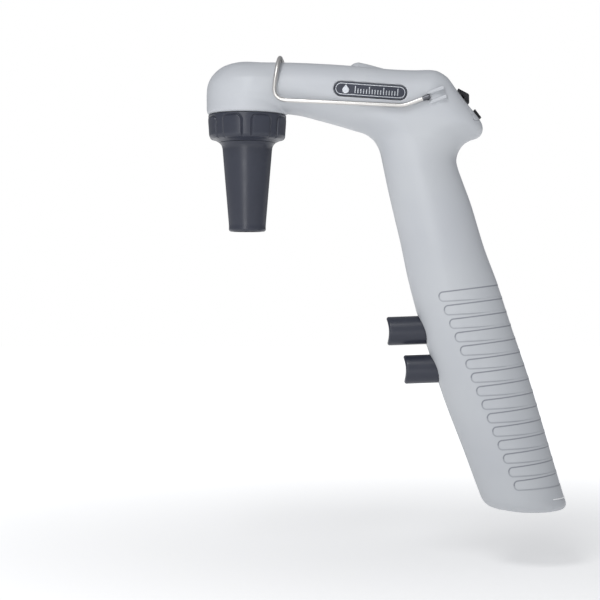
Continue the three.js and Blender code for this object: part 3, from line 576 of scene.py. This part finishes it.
def bend(first, corner, last, steps):
    """Points of the curve that leaves first toward corner and arrives at last."""
    return [(1 - t) ** 2 * first + 2 * t * (1 - t) * corner + t * t * last for t in np.linspace(0, 1, steps)]


FILLET_STEPS = 5


def fillet(points, radius, closed=True):
    """The corners of an outline turned into small curves. radius is one number, or one for each point."""
    p = [np.array(q, float) for q in points]
    count = len(p)
    radii = np.broadcast_to(radius, count)
    out = []
    for i, corner in enumerate(p):
        if not closed and i in (0, count - 1):
            out.append(corner)
            continue
        before, after = p[i - 1] - corner, p[(i + 1) % count] - corner
        a, b = np.linalg.norm(before), np.linalg.norm(after)
        reach = min(radii[i], 0.45 * a, 0.45 * b)
        if reach < 0.01:
            out.append(corner)
            continue
        first, last = corner + before / a * reach, corner + after / b * reach
        out += bend(first, corner, last, FILLET_STEPS)
    return np.array(out)


def keep_flats(piece):
    """Normals weighted by face area, so that flats stay flat beside their rounded edges."""
    modifier = piece.modifiers.new("flats", "WEIGHTED_NORMAL")
    modifier.keep_sharp = True
    return piece


def ring_faces(rings, sides, wrap):
    """Quads between rings of points. wrap joins the last ring to the first."""
    ring = np.arange(rings if wrap else rings - 1)[:, None]
    side = np.arange(sides)[None, :]
    here, up = ring * sides, (ring + 1) % rings * sides
    nxt = (side + 1) % sides
    return np.stack([here + side, here + nxt, up + nxt, up + side], 2).reshape(-1, 4)


def turn(name, profile, body, slot, replaced, sides=160, shape=None):
    """A closed profile of radius and z turned about the nozzle. shape(angle, radius, z) gives new radii."""
    angle = np.linspace(0, 2 * pi, sides, endpoint=False)
    radius, z = np.repeat(profile[:, :1], sides, 1), np.repeat(profile[:, 1:], sides, 1)
    if shape:
        radius = shape(angle[None, :], radius, z)
    points = np.stack([NOZZLE_X + radius * np.cos(angle), radius * np.sin(angle), z], 2).reshape(-1, 3)
    faces = ring_faces(len(profile), sides, True)
    area = np.sum(profile[:, 0] * np.roll(profile[:, 1], -1) - np.roll(profile[:, 0], -1) * profile[:, 1])
    keep_flats(new_object(name, points, faces if area > 0 else faces[:, ::-1], body, slot, replaced))


TUBE_SIDES = 24
DOME = [(0.35, -0.9), (0.75, -0.6), (0.96, -0.25)]  # shares of the radius, across and along, at a tube's end
DOME_LENGTH = 0.6


def tube(name, route, radius, body, slot, replaced):
    """A round bar with domed ends along a dense route."""
    route = np.asarray(route, float)
    along = np.gradient(route, axis=0)
    along /= np.linalg.norm(along, axis=1)[:, None]
    normal = np.cross(along[0], [0.3, 0.2, 0.9])
    rings = []
    angle = np.linspace(0, 2 * pi, TUBE_SIDES, endpoint=False)[:, None]
    stations = [(0, share, back) for share, back in DOME] + [(i, 1, 0) for i in range(len(route))]
    stations += [(len(route) - 1, share, -back) for share, back in reversed(DOME)]
    for i, share, back in stations:
        normal = normal - along[i] * normal.dot(along[i])
        normal /= np.linalg.norm(normal)
        across = np.cross(along[i], normal)
        centre = route[i] + along[i] * back * radius * DOME_LENGTH
        rings.append(centre + radius * share * (np.cos(angle) * normal + np.sin(angle) * across))
    points = np.vstack(rings)
    faces = ring_faces(len(rings), TUBE_SIDES, False).tolist()
    faces.append(list(range(TUBE_SIDES))[::-1])
    faces.append(list(range(len(points) - TUBE_SIDES, len(points))))
    new_object(name, points, faces, body, slot, replaced)


LEG_STEPS, BEND_STEPS = 8, 9


def bent_path(corners, reaches):
    """Straight stretches joined by bends that start this far from each corner."""
    p = [np.array(c, float) for c in corners]
    out = [p[0]]
    for i in range(1, len(p) - 1):
        first = p[i] + (p[i - 1] - p[i]) * reaches[i] / np.linalg.norm(p[i - 1] - p[i])
        last = p[i] + (p[i + 1] - p[i]) * reaches[i] / np.linalg.norm(p[i + 1] - p[i])
        out += list(np.linspace(out[-1], first, LEG_STEPS)[1:-1])
        out += bend(first, p[i], last, BEND_STEPS)
    out += list(np.linspace(out[-1], p[-1], LEG_STEPS)[1:])
    return np.array(out)


def field_piece(
    name, field, low, high, slot, replaced=None, look=None, frame_at=None, step=0.16, body="housing"
):
    """A piece from a field, in its own leaning frame if frame_at is (centre, lean)."""
    points, faces = surface_of(field, low, high, step)
    if frame_at:
        points = place_in(points, *frame_at)
    new_object(name, points, faces, body, slot, replaced, look)


# ------------ mouldings

# Boxes that the grids fill, from corner to corner.
SHELL_BOX = (-126, 0, -154), (73, 22, 92)
PANEL_BOX = (-1, -17, 50), (28, 17, 90)
DOOR_BOX = (29, -21, -154), (71, 21, -144)


def make_shells():
    for name, side in [("right_shell", 1), ("left_shell", -1)]:
        points, faces = surface_of(lambda x, y, z: shell(x, y, z, side), *SHELL_BOX, STEP)
        if side < 0:
            points, faces = points * [1, -1, 1], faces[:, ::-1]
        new_object(f"{name}_moulding", points, faces, "housing", "shell", name, ribbed_plastic_painted_shade)


def make_panel():
    field_piece("rear_panel_moulding", panel, *PANEL_BOX, "shell", "rear_panel", step=FINE_STEP)


def make_door():
    name = "battery_door"
    field_piece(f"{name}_moulding", door, *DOOR_BOX, "shell", name, step=FINE_STEP, body="door")
    start, height, half = DOOR_SEAL

    def seal(x, y, z):
        rim = layer(outer(x, y, z) - SEAL_PROUD, -SEAL_THICKNESS, 0)
        return maximum(rim, maximum(abs(z - height) - half, start - x))

    low, high = (start - 1, -20, height - 1), (71, 20, height + 1)
    field_piece(f"{name}_seal", seal, low, high, "shell", look=pale_seal, step=FINE_STEP, body="door")


# ------------ nozzle


def collar_pads(angle, radius, z):
    """Raises the grip pads of the collar: flat lands with rounded tops that run out over its lower edge."""
    pitch = 2 * pi / PADS
    turn_from = radians(-90 - PAD_TURN)
    aside = (angle - turn_from + pitch / 2) % pitch - pitch / 2
    half = radians(PAD_ANGLE) / 2 * COLLAR_RADIUS
    tall = PAD_HALF_HEIGHT
    flat = round_box(aside * COLLAR_RADIUS, z - PAD_TOP + tall, half, tall, PAD_CORNER)
    groove = COLLAR_GROOVE * np.exp(-(((flat - 0.3) / COLLAR_GROOVE_WIDTH) ** 2))
    lift = PAD_RISE * smooth_step(-flat, -0.1, 0.35) - groove
    return radius + lift * smooth_step(radius, 17, 20)


def refine(profile, beyond, steps):
    """Splits the tallest stretch of a profile beyond this radius into short steps."""
    ends = np.roll(profile, -1, 0)
    at = int(np.argmax((ends[:, 1] - profile[:, 1]) * (profile[:, 0] > beyond)))
    fine = np.linspace(profile[at], ends[at], steps)
    return np.vstack([profile[:at], fine, profile[at + 2 :]])


def make_collar():
    profile = fillet(
        [
            (18, 61.8), (18, 50.3), (14.2, 50.3), (14.2, 47.3), (15.2, 47), (17, 48.1), (19.4, 48.9),
            (20.2, 50.3), (21, 61.8),
        ],
        [0.3, 0.3, 0.3, 0.3, 0.5, 1.2, 1, 1, 0.7],
    )
    profile = refine(profile, 19, 44)
    turn("collar_nut_pads", profile, "collar", "charcoal", "collar_nut", 640, collar_pads)


def make_nose():
    cone = fillet(
        [
            (12.2, 52.2), (12.2, 44), (8.3, 1.2), (7.9, -0.9), (9.2, -0.9), (9.95, -0.1), (9.9, 2.2),
            (13.4, 44), (13.9, 45.7), (15.15, 46.95), (13.9, 47.2), (13.9, 50.6), (17.3, 50.6), (17.3, 52.2),
        ],
        [0.3, 1, 0.5, 0.2, 0.5, 0.5, 1, 1.5, 1.2, 0.15, 0.2, 0.5, 0.3, 0.3],
    )
    turn("nose_cone_smooth", cone, "nose", "charcoal", "nose_cone")
    holder = fillet(
        [(3.8, 43), (3.8, 17), (5.2, 12.5), (5.6, 0.4), (7.3, 0.4), (7.8, 3), (11.3, 43)],
        [0.3, 3, 3, 0.8, 0.6, 0.8, 0.5],
    )
    turn("pipette_holder_smooth", holder, "nose", "rubber", "pipette_holder")


def thread(angle, radius, z):
    """The helical thread on the spigot's outside."""
    phase = (z / THREAD_PITCH + angle / (2 * pi)) % 1
    ridge = smooth_step(abs(phase - 0.5), 0.12, 0.38)
    outside = smooth_step(radius, 16, 17)
    along = smooth_step(z, THREAD_START, THREAD_START + 0.8) * smooth_step(-z, -THREAD_END, 1.2 - THREAD_END)
    return radius - THREAD_DEPTH * ridge * outside * along


def make_spigot():
    profile = fillet(
        [
            (1.2, 58), (14, 58), (14, THREAD_START), (17.6, THREAD_START), (17.6, 65), (18.6, 65),
            (18.6, 67.4), (3.2, 67.4), (2.4, 68), (2.4, 76), (1.2, 76),
        ],
        0.3,
    )
    profile = refine(profile, 17, 70)
    turn("outlet_spigot_thread", profile, "housing", "inner_plastic", "outlet_spigot", 240, thread)


# ------------ triggers


def make_triggers():
    """Round buttons with a saddle-shaped front, a rounded rim and a spring pocket behind."""
    sides = TRIGGER_SIDES
    angle = np.linspace(0, 2 * pi, sides, endpoint=False)
    y, v = np.cos(angle), np.sin(angle)
    flat = TRIGGER_RADIUS - TRIGGER_RIM
    pocket, floor = SPRING_POCKET

    def saddle(radius):
        return SADDLE_DEPTH - SADDLE_RADIUS + np.sqrt(SADDLE_RADIUS**2 - (radius * v) ** 2)

    rings = [(saddle(r), r) for r in np.linspace(PIN_HOLE, flat, 9)]
    for t in np.linspace(0, pi / 2, 8)[1:]:
        rings.append((saddle(flat) + TRIGGER_RIM * (1 - cos(t)), flat + TRIGGER_RIM * sin(t)))
    back = [
        (3, TRIGGER_RADIUS), (TRIGGER_LENGTH, TRIGGER_RADIUS), (TRIGGER_LENGTH, pocket), (floor, pocket),
        (floor, PIN_HOLE),
    ]
    rings += [(np.full(sides, u), r) for u, r in fillet(back, 0.5, False)]
    points = np.vstack([np.stack([u, r * y, r * v], 1) for u, r in rings])
    faces = ring_faces(len(rings), sides, False)[:, ::-1].tolist()
    faces += [list(range(sides)), list(range(len(points) - sides, len(points)))[::-1]]
    for row, label in enumerate(("upper", "lower")):
        name, body = f"{label}_trigger", f"trigger_{label}"
        moved = points + [row * TRIGGER_SETBACK, 0, -row * TRIGGER_SPACING]
        moved = place_in(moved, TRIGGER_FRONT, TRIGGER_LEAN)
        keep_flats(new_object(f"{name}_saddle", moved, faces, body, "charcoal", name))


# ------------ stand


def make_stand():
    """The folded wire, with a dark sleeve near each pivot whose colour is painted shade where the wire's end
    bends into the body.
    """
    places = [PIVOT, PIVOT, STAND_BEND, STAND_CORNER, STAND_TOP]
    outs = [STAND_END, LEG_Y, LEG_Y, LEG_Y, LEG_Y]
    corners = [(x, -out, z) for (x, z), out in zip(places, outs)]
    corners += [(x, -y, z) for x, y, z in reversed(corners)]
    path = bent_path(corners, STAND_REACHES + STAND_REACHES[::-1])
    tube("stand_wire_bent", path, WIRE_RADIUS, "stand", "stand_wire", "wire_stand")
    lean = atan2(STAND_BEND[1] - PIVOT[1], STAND_BEND[0] - PIVOT[0])
    for name, side in (("left", -1), ("right", 1)):

        def sleeve(u, y, v):
            radius = SLEEVE_RADIUS - SLEEVE_TAPER * smooth_step(u, 1.2, 2.8)
            body = hypot(y - side * LEG_Y, v) - radius
            return soft_max(body, abs(u - SLEEVE_CENTRE) - SLEEVE_HALF, 0.4)

        def bush(x, y, z):
            away = hypot(x - PIVOT[0], z - PIVOT[1])
            barrel = soft_max(away - BUSH_RADIUS, layer(side * y, BUSH_START, BUSH_END), 0.3)
            return soft_max(barrel, BUSH_BORE - away, 0.2)

        low, high = (-2, side * LEG_Y - 1.8, -1.8), (3.5, side * LEG_Y + 1.8, 1.8)
        sleeve_name, frame_at = f"stand_shade_sleeve_{name}", (PIVOT, lean)
        field_piece(sleeve_name, sleeve, low, high, "steel", None, sleeve_painted_shade_steel, frame_at, body="stand")
        ends = sorted((side * 11.8, side * 20.6))
        low, high = (PIVOT[0] - 3, ends[0], PIVOT[1] - 3), (PIVOT[0] + 3, ends[1], PIVOT[1] + 3)
        bush_name = f"stand_bush_{name}"
        field_piece(f"{bush_name}_lined", bush, low, high, "brass", bush_name)


# ------------ trim and controls

HOOD_BOX = (-49, -6.5, 84), (-24, 6.5, 91.2)


def make_hood():
    rise = table(HOOD_RISE, 1.2)

    def hood(x, y, z):
        across = np.clip(abs(y) / maximum(hood_half(x), 0.5), 0, 1)
        dome = outer(x, y, z) - rise(x) * (1 - across**2.5)
        return soft_max(soft_max(dome, hood_plan(x, y, HOOD_RISE), 0.5), HOOD_FLOOR - z, 0.3)

    field_piece("indicator_hood_dome", hood, *HOOD_BOX, "shell", "indicator_hood", step=0.2)


def make_lamp():
    def lamp(x, y, z):
        away = hypot(x - LAMP_X, y)
        dome_middle, dome_radius = LAMP_DOME
        stem = maximum(away - LAMP_RADIUS, layer(z, LAMP_BOTTOM, LAMP_TOP))
        foot = maximum(away - LAMP_FOOT, layer(z, LAMP_BOTTOM, LAMP_BOTTOM + LAMP_FOOT_HEIGHT))
        dome = np.sqrt((z - dome_middle) ** 2 + away**2) - dome_radius
        return soft_min(soft_max(stem, dome, 0.3), foot, 0.2)

    low, high = (LAMP_X - 2.4, -2.4, 85), (LAMP_X + 2.4, 2.4, 91.1)
    field_piece("power_lamp_dome", lamp, low, high, "black", "power_lamp")


def make_socket():
    x, z = SOCKET_PLACE

    def socket(u, y, v):
        away = hypot(u - x, v - z)
        jack = soft_max(away - SOCKET_RADIUS, layer(y, SOCKET_START, SOCKET_FACE), 0.4)
        jack = cut(jack, maximum(away - SOCKET_BORE, SOCKET_START + 2 - y), 0.3)
        pin = soft_max(away - SOCKET_PIN, layer(y, 12.5, 19), 0.4)
        return minimum(jack, pin)

    low, high = (x - 4.2, 10.8, z - 4.2), (x + 4.2, 19.8, z + 4.2)
    field_piece("charge_socket_ring", socket, low, high, "black", "charge_socket")


def make_screws():
    """Cross-head screws. Each one's head ends where its recess in the right shell starts."""
    for i, (sx, sz, recess) in enumerate(SCREWS, 1):
        seat = recess + GAP
        top = seat + SCREW_HEAD_HEIGHT

        def screw(x, y, z):
            across, up = abs(x - sx), abs(z - sz)
            away = hypot(across, up)
            head = soft_max(away - SCREW_HEAD, maximum(seat - y, y - top + 0.06 * away**2), 0.3)
            deep = y - top + CROSS_DEPTH - 0.5 * away
            wide = maximum(across - CROSS_HALF_WIDTH, up - CROSS_HALF_LENGTH)
            tall = maximum(up - CROSS_HALF_WIDTH, across - CROSS_HALF_LENGTH)
            head = cut(head, maximum(minimum(wide, tall), -deep), 0.15)
            shank = away - SCREW_SHANK + 0.12 + 0.12 * np.sin(2 * pi * y / SCREW_PITCH)
            return soft_min(head, maximum(shank, maximum(3 - recess - y, y - top + 1.4)), 0.2)

        low, high = (sx - 2.4, 2.8 - recess, sz - 2.4), (sx + 2.4, recess + 2.1, sz + 2.4)
        field_piece(f"shell_screw_{i}_cross", screw, low, high, "steel", f"shell_screw_{i}")


DROP_PLACE, DROP_RADIUS, DROP_TIP = (-13, -0.6), 1.75, 2.5
TICK_START, TICK_STEP, LAST_TICK = -8, 1.5, 15
TICK_HALF_WIDTH = 0.28
TICK_HALF_HEIGHTS = (1.9, 1.2)  # every fifth tick, and the others
BADGE_LINE_INSET, BADGE_LINE_HALF = 0.95, 0.2
BADGE_DISH = 0.18  # the plate's field lies this far below its rim


def badge_marks(u, v):
    """Negative on the emblem: a drop and a row of graduation ticks."""
    along = u - DROP_PLACE[0]
    drop = hypot(along, v - DROP_PLACE[1]) - DROP_RADIUS
    tip = maximum(abs(along) - 0.62 * (DROP_TIP - v), -v - 0.2)
    marks = soft_min(drop, tip, 0.4)
    along = u - TICK_START
    tick = np.round(np.clip(along / TICK_STEP, 0, LAST_TICK))
    tall = np.where(tick % 5 == 0, *TICK_HALF_HEIGHTS)
    across = abs(along - tick * TICK_STEP) - TICK_HALF_WIDTH
    ticks = maximum(across, abs(v - tall + TICK_HALF_HEIGHTS[0]) - tall)
    return minimum(marks, ticks)


def badge_edge(u, v):
    past_straight = maximum(abs(u) - BADGE_LENGTH / 2 + BADGE_HEIGHT / 2, 0)
    return hypot(past_straight, v) - BADGE_HEIGHT / 2


def make_badges():
    """A slate plate in a dark rim, with a thin silver line and a printed emblem."""
    for name, side in (("badge_left", -1), ("badge_right", 1)):

        def plate(u, y, v):
            edge, out = badge_edge(u, v), side * y
            dish = BADGE_DISH * smooth_step(-edge, 0.35, 0.6)
            return soft_max(soft_max(edge, out - BADGE_FACE + dish, 0.25), BADGE_BACK - out, 0.2)

        def line(u, y, v):
            ring = abs(badge_edge(u, v) + BADGE_LINE_INSET) - BADGE_LINE_HALF
            return maximum(ring, abs(side * y - BADGE_FACE + 0.17) - 0.1)

        def emblem(u, y, v):
            return maximum(badge_marks(-side * u, v), abs(side * y - BADGE_FACE + 0.18) - 0.09)

        for kind, field, near, far, step, replaced, look in (
            ("plate", plate, 18.7, 20.5, 0.2, name, None),
            ("line", line, 19.9, 20.4, 0.1, None, silver_print),
            ("emblem", emblem, 19.9, 20.4, 0.1, None, silver_print),
        ):
            ends = sorted((side * near, side * far))
            reach = BADGE_LENGTH / 2 + 0.2
            low, high = (-reach, ends[0], -4), (reach, ends[1], 4)
            frame_at = (BADGE_CENTRE, BADGE_LEAN)
            field_piece(f"{name}_{kind}", field, low, high, "badge", replaced, look, frame_at, step)


SPEED_BOX = (-5, -4.7, -3.8), (5, 4.7, 3.5)
MODE_BOX = (MODE_OFFSET - 3, -3.4, -3.8), (MODE_OFFSET + 3, 3.4, 1.5)
SPEED_HALF, SPEED_FOOT, SPEED_CLIMB = 4.8, 0.8, 2.5
SPEED_TEETH, MODE_TEETH = 1.15, 1.1


def slider_stem(u, y, v, half_length, half_width, top):
    """The stem that reaches down through the slot to the switch."""
    sides = maximum(abs(u) - half_length, abs(y) - half_width)
    return maximum(sides, layer(v, SLIDER_BOTTOM, top))


def make_sliders():
    def speed(u, y, v):
        base = soft_max(round_box(u, y, SPEED_HALF, 4.5, 1.0), layer(v, 0.35, 1.0), 0.25)
        before = (u + SPEED_HALF) * SPEED_CLIMB / 5.4
        behind = (SPEED_HALF - u) * SPEED_CLIMB / 3.4
        rise = SPEED_FOOT + np.where(u < 1, before, behind)
        wedge = soft_max((v - minimum(rise, 3.3)) * 0.9, maximum(abs(y) - 4.4, 0.5 - v), 0.35)
        wedge = maximum(wedge, abs(u) - 4.7)
        grooves = 0.14 * np.cos(2 * pi * u / SPEED_TEETH) * smooth_step(v, 1.0, 1.5) * (abs(y) < 3.6)
        return minimum(soft_min(base, wedge + grooves * 0.8, 0.2), slider_stem(u, y, v, 1.2, 1, 0.9))

    def mode(u, y, v):
        u = u - MODE_OFFSET
        tab = soft_max(round_box(u, y, 2.8, 3.2, 0.7), layer(v, 0.1, 1.3), 0.3)
        tab = tab + 0.1 * np.cos(2 * pi * u / MODE_TEETH) * smooth_step(v, 0.8, 1.1) * (abs(y) < 2.5)
        return minimum(tab, slider_stem(u, y, v, 0.7, 0.9, 0.6))

    for body, field, box in (("speed", speed, SPEED_BOX), ("mode", mode, MODE_BOX)):
        name = f"{body}_slider"
        frame_at = (SLOPE_POINT, -SLOPE_FALL)
        field_piece(f"{name}_ridged", field, *box, "black", name, None, frame_at, 0.14, body)


# ------------ materials


class Nodes:
    """Short calls for building one tree of nodes."""

    def __init__(self, tree):
        self.tree = tree
        self.coordinates = self.add("TexCoord").outputs["Object"]

    def add(self, kind, *given, **named):
        """A node with its first inputs given in order, or inputs given by name."""
        node = self.tree.nodes.new("ShaderNode" + kind)
        self.fill(node, dict(enumerate(given)) | named)
        return node

    def fill(self, node, inputs):
        for key, value in inputs.items():
            socket = node.inputs[key if isinstance(key, int) else key.replace("_", " ")]
            if isinstance(value, bpy.types.NodeSocket):
                self.tree.links.new(value, socket)
            else:
                socket.default_value = value

    def set(self, **inputs):
        self.fill(self.tree.nodes["Principled BSDF"], inputs)

    def noise(self, scale, detail=2.0, stretch=(1, 1, 1)):
        """Noise with about scale features per metre."""
        mapped = self.add("Mapping", Vector=self.coordinates, Scale=stretch)
        inputs = {"Vector": mapped.outputs[0], "Scale": scale, "Detail": detail, "Roughness": 0.5}
        return self.add("TexNoise", **inputs).outputs["Fac"]

    def ramp(self, value, low, high, to_low, to_high):
        return self.add("MapRange", value, low, high, to_low, to_high).outputs["Result"]

    def mix(self, share, first, second):
        node = self.add("Mix")
        node.data_type = "RGBA"
        self.fill(node, {0: share, 6: first, 7: second})
        return node.outputs[2]

    def calculate(self, operation, *values, kind="Math", result=0):
        node = self.add(kind, *values)
        node.operation = operation
        return node.outputs[result]

    def bump(self, height, strength, distance):
        node = self.add("Bump", Height=height, Strength=strength, Distance=distance)
        self.set(Normal=node.outputs[0])


def new_material(name):
    material = bpy.data.materials.new(name)
    material.use_nodes = True
    return material, Nodes(material.node_tree)


def colour(values):
    """A colour from its 0 to 255 display values."""
    return tuple(((v / 255 + 0.055) / 1.055) ** 2.4 for v in values) + (1.0,)


def moulded(name, base, shade, roughness, grain=2600, depth=0.00003, specular=0.4, rib_shade=False):
    """Moulded plastic: cloudy colour, fine spark-eroded grain, and uneven gloss; on the ribbed shells also
    painted shade along the edges of the grip's bars.
    """
    material, n = new_material(name)
    plain = n.mix(n.ramp(n.noise(28, 3), 0.35, 0.65, 0, 1), colour(base), colour(shade))
    gloss = n.ramp(n.noise(160, 3), 0.3, 0.7, roughness - 0.04, roughness + 0.05)
    tint = add_rib_painted_shade(n, plain) if rib_shade else plain
    n.set(Base_Color=tint, Roughness=gloss, Specular_IOR_Level=specular)
    n.bump(n.noise(grain), 0.35, depth)
    return material


def add_rib_painted_shade(n, plain):
    """The colour plain with a fine line of painted shade around each pressed bar of the grip, darker on the
    bar's upper edge than on its lower edge.
    """
    calc = n.calculate
    place = n.add("SeparateXYZ", n.coordinates)
    dx = calc("MULTIPLY_ADD", place.outputs["X"], 1 / MM, -RIB_START[0])
    dz = calc("MULTIPLY_ADD", place.outputs["Z"], 1 / MM, -RIB_START[1])
    sine, cosine = sin(RIB_LEAN), cos(RIB_LEAN)
    along = calc("MULTIPLY_ADD", dz, sine, calc("MULTIPLY", dx, cosine))
    across = calc("MULTIPLY_ADD", dx, -sine, calc("MULTIPLY", dz, cosine))
    step_along, step_across = turned_axes(*RIB_PITCH, (0, 0), RIB_LEAN)
    row = calc("ROUND", calc("DIVIDE", across, step_across))
    row = calc("MINIMUM", calc("MAXIMUM", row, 0), RIBS - 1)
    along = calc("MULTIPLY_ADD", row, -step_along, along)
    spread = calc("MULTIPLY", calc("MINIMUM", calc("MAXIMUM", along, 0), RIB_SPREAD_END), RIB_SPREAD)
    across = calc("ADD", calc("MULTIPLY_ADD", row, -step_across, across), spread)
    # The painted shade is stronger along a bar's upper edge than along its lower edge.
    strength = n.ramp(across, -0.5, 0.5, RIB_LOWER_SHADE, 1)
    across = calc("SUBTRACT", calc("ABSOLUTE", across), spread)
    end = calc("MAXIMUM", calc("SUBTRACT", RIB_CORNER, along), 0)
    edge = calc("MAXIMUM", calc("SUBTRACT", across, RIB_HALF - RIB_CORNER), 0)
    reach = calc("SQRT", calc("MULTIPLY_ADD", end, end, calc("MULTIPLY", edge, edge)))
    away = calc("ABSOLUTE", calc("SUBTRACT", reach, RIB_CORNER))
    # Mixes the painted shade colour in along each bar's edge.
    return n.mix(calc("MULTIPLY", n.ramp(away, *RIB_SHADE_FADE, 1, 0), strength), plain, colour(RIB_SHADE_COLOUR))


def metal(name, base, shade, roughness, stretch=(1, 1, 1), grain=900):
    material, n = new_material(name)
    streaks = n.noise(grain, 2, stretch)
    tint = n.mix(n.ramp(streaks, 0.3, 0.7, 0, 1), colour(base), colour(shade))
    gloss = n.ramp(streaks, 0.3, 0.7, roughness - 0.05, roughness + 0.08)
    n.set(Base_Color=tint, Roughness=gloss, Metallic=1)
    n.bump(streaks, 0.2, 0.00001)
    return material


def elastic(name, base, shade, roughness, see_through=0.0):
    material, n = new_material(name)
    tint = n.mix(n.ramp(n.noise(120, 4), 0.3, 0.7, 0, 1), colour(base), colour(shade))
    gloss = n.ramp(n.noise(700), 0.3, 0.7, roughness - 0.06, roughness + 0.06)
    n.set(Base_Color=tint, Roughness=gloss, Subsurface_Weight=see_through, Subsurface_Scale=0.002)
    n.bump(n.noise(1800), 0.3, 0.00002)
    return material


def board_green(name):
    """Circuit board: solder mask over copper runs."""
    material, n = new_material(name)
    mask, shade, copper = (colour(c) for c in ((28, 104, 66), (24, 92, 58), (72, 140, 84)))
    runs = n.add("TexBrick", n.coordinates, mask, shade, copper, 420.0)
    n.set(Base_Color=runs.outputs["Color"], Roughness=n.ramp(n.noise(500), 0.3, 0.7, 0.3, 0.42))
    n.bump(runs.outputs["Fac"], 0.3, 0.00004)
    return material


SHELL_LOOK = ((184, 187, 191), (180, 183, 188), 0.44)
# The shells' plastic, with painted shade along the edges of the grip's bars.
ribbed_plastic_painted_shade = moulded("ribbed_plastic_painted_shade", *SHELL_LOOK, rib_shade=True)
pale_seal = moulded("pale_seal", (246, 247, 248), (240, 241, 242), 0.5)
# Painted shade: the sleeves are steel painted dark where the wire's ends bend into the body.
sleeve_painted_shade_steel = metal("sleeve_painted_shade_steel", (104, 105, 110), (88, 89, 94), 0.36)
silver_print = metal("silver_print", (206, 209, 214), (192, 196, 202), 0.34)
# What the pieces of each material slot look like, where nothing else is said.
LOOKS = {
    "shell": moulded("shell_plastic", *SHELL_LOOK),
    "charcoal": moulded("charcoal_plastic", (51, 54, 65), (47, 50, 61), 0.33, 2200),
    "black": moulded("black_plastic", (30, 31, 35), (26, 27, 31), 0.36),
    "inner_plastic": moulded("inner_plastic", (222, 224, 222), (214, 216, 214), 0.5),
    "badge": moulded("badge_field", (50, 54, 66), (45, 49, 61), 0.3, 3500, 0.00002, 0.5),
    "cell": moulded("cell_sleeve", (64, 122, 182), (58, 112, 170), 0.3, 900, 0.00002, 0.5),
    "steel": metal("steel", (196, 197, 200), (178, 180, 184), 0.26, (1, 1, 6)),
    "stand_wire": metal("wire_steel", (214, 212, 209), (204, 202, 199), 0.34, grain=120),
    "brass": metal("brass", (200, 168, 96), (180, 148, 80), 0.3),
    "silicone": elastic("silicone", (214, 218, 217), (202, 207, 206), 0.45, 0.2),
    "rubber": elastic("rubber", (46, 47, 50), (40, 41, 44), 0.62),
    "red_lead": elastic("red_sleeve", (176, 44, 36), (160, 38, 32), 0.4),
    "board": board_green("circuit_board"),
}


def paint(piece, material):
    piece.data.materials.clear()
    piece.data.materials.append(material)


def paint_cad_nodes():
    slots = {row["node"]: row["material_slot"] for row in frame["record"]["subparts"]}
    for name, node in frame["nodes"].items():
        paint(node, LOOKS[slots[name]])


# ------------ stage

FLOOR_Z = -182  # clear of the battery door when it is pulled
FLOOR_HALF = 3000
FLOOR_FADE = (0.1, 0.6)  # the paper's painted glow rises between these distances from the middle, in metres
FLOOR_GLOW = (0.2, 0.8)
# Name, place, target, sides and power of each light. The softbox is near the head, so that its light
# falls off down the grip. The strip draws an upright band of gloss on the nose cone.
LIGHTS = [
    ("softbox", (-170, -380, 430), (-100, 0, 60), (200, 260), 1.2),
    ("strip", (-200, -560, 40), (-105, 0, 0), (150, 420), 0.75),
]
ROOM_COLOUR = (0.94, 0.96, 1, 1)
ROOM_SIDE = (-0.3, -0.4, 0.85)
ROOM_LIGHT = (0.14, 0.48)  # away from that side, and towards it
WHITE = (1, 1, 1, 1)


def make_floor():
    """Pale paper with painted light: it glows more away from the object, up to the white of the room."""
    corners = [(-1, -1), (1, -1), (1, 1), (-1, 1)]
    points = [(a * FLOOR_HALF * MM, b * FLOOR_HALF * MM, FLOOR_Z * MM) for a, b in corners]
    mesh = bpy.data.meshes.new("floor")
    mesh.from_pydata(points, [], [(0, 1, 2, 3)])
    floor = add_to_scene("floor", mesh)
    material, n = new_material("floor_paper")
    paper = n.mix(n.noise(3), colour((242, 242, 242)), colour((240, 240, 240)))
    away = n.calculate("LENGTH", n.coordinates, kind="VectorMath", result="Value")
    glow = n.ramp(away, *FLOOR_FADE, *FLOOR_GLOW)
    n.set(Base_Color=paper, Roughness=0.9, Emission_Color=WHITE, Emission_Strength=glow)
    floor.data.materials.append(material)


def make_room():
    """White to the camera. As a light it is brightest above and on the photographer's side."""
    world = bpy.data.worlds.new("white_room")
    world.use_nodes = True
    nodes = world.node_tree.nodes
    n = Nodes(world.node_tree)
    side = tuple(Vector(ROOM_SIDE).normalized())
    direction = n.add("TexCoord").outputs["Generated"]
    towards = n.calculate("DOT_PRODUCT", direction, side, kind="VectorMath", result="Value")
    light = n.add("Background", ROOM_COLOUR, n.ramp(towards, -1, 1, *ROOM_LIGHT)).outputs[0]
    n.fill(nodes["Background"], {"Color": WHITE})
    seen = n.add("LightPath").outputs["Is Camera Ray"]
    both = n.add("MixShader", seen, light, nodes["Background"].outputs[0])
    n.fill(nodes["World Output"], {"Surface": both.outputs[0]})
    bpy.context.scene.world = world


def make_lights():
    for name, place, target, sides, power in LIGHTS:
        data = bpy.data.lights.new(name, "AREA")
        data.shape = "RECTANGLE"
        data.size, data.size_y = (side * MM for side in sides)
        data.energy = power
        light = add_to_scene(name, data)
        light.location = Vector(place) * MM
        light.rotation_euler = (Vector(place) - Vector(target)).to_track_quat("Z", "Y").to_euler()
    bpy.context.scene.view_settings.view_transform = "Standard"


paint_cad_nodes()
make_shells()
make_panel()
make_door()
make_collar()
make_nose()
make_spigot()
make_triggers()
make_stand()
make_hood()
make_lamp()
make_socket()
make_screws()
make_badges()
make_sliders()
make_floor()
make_room()
make_lights()
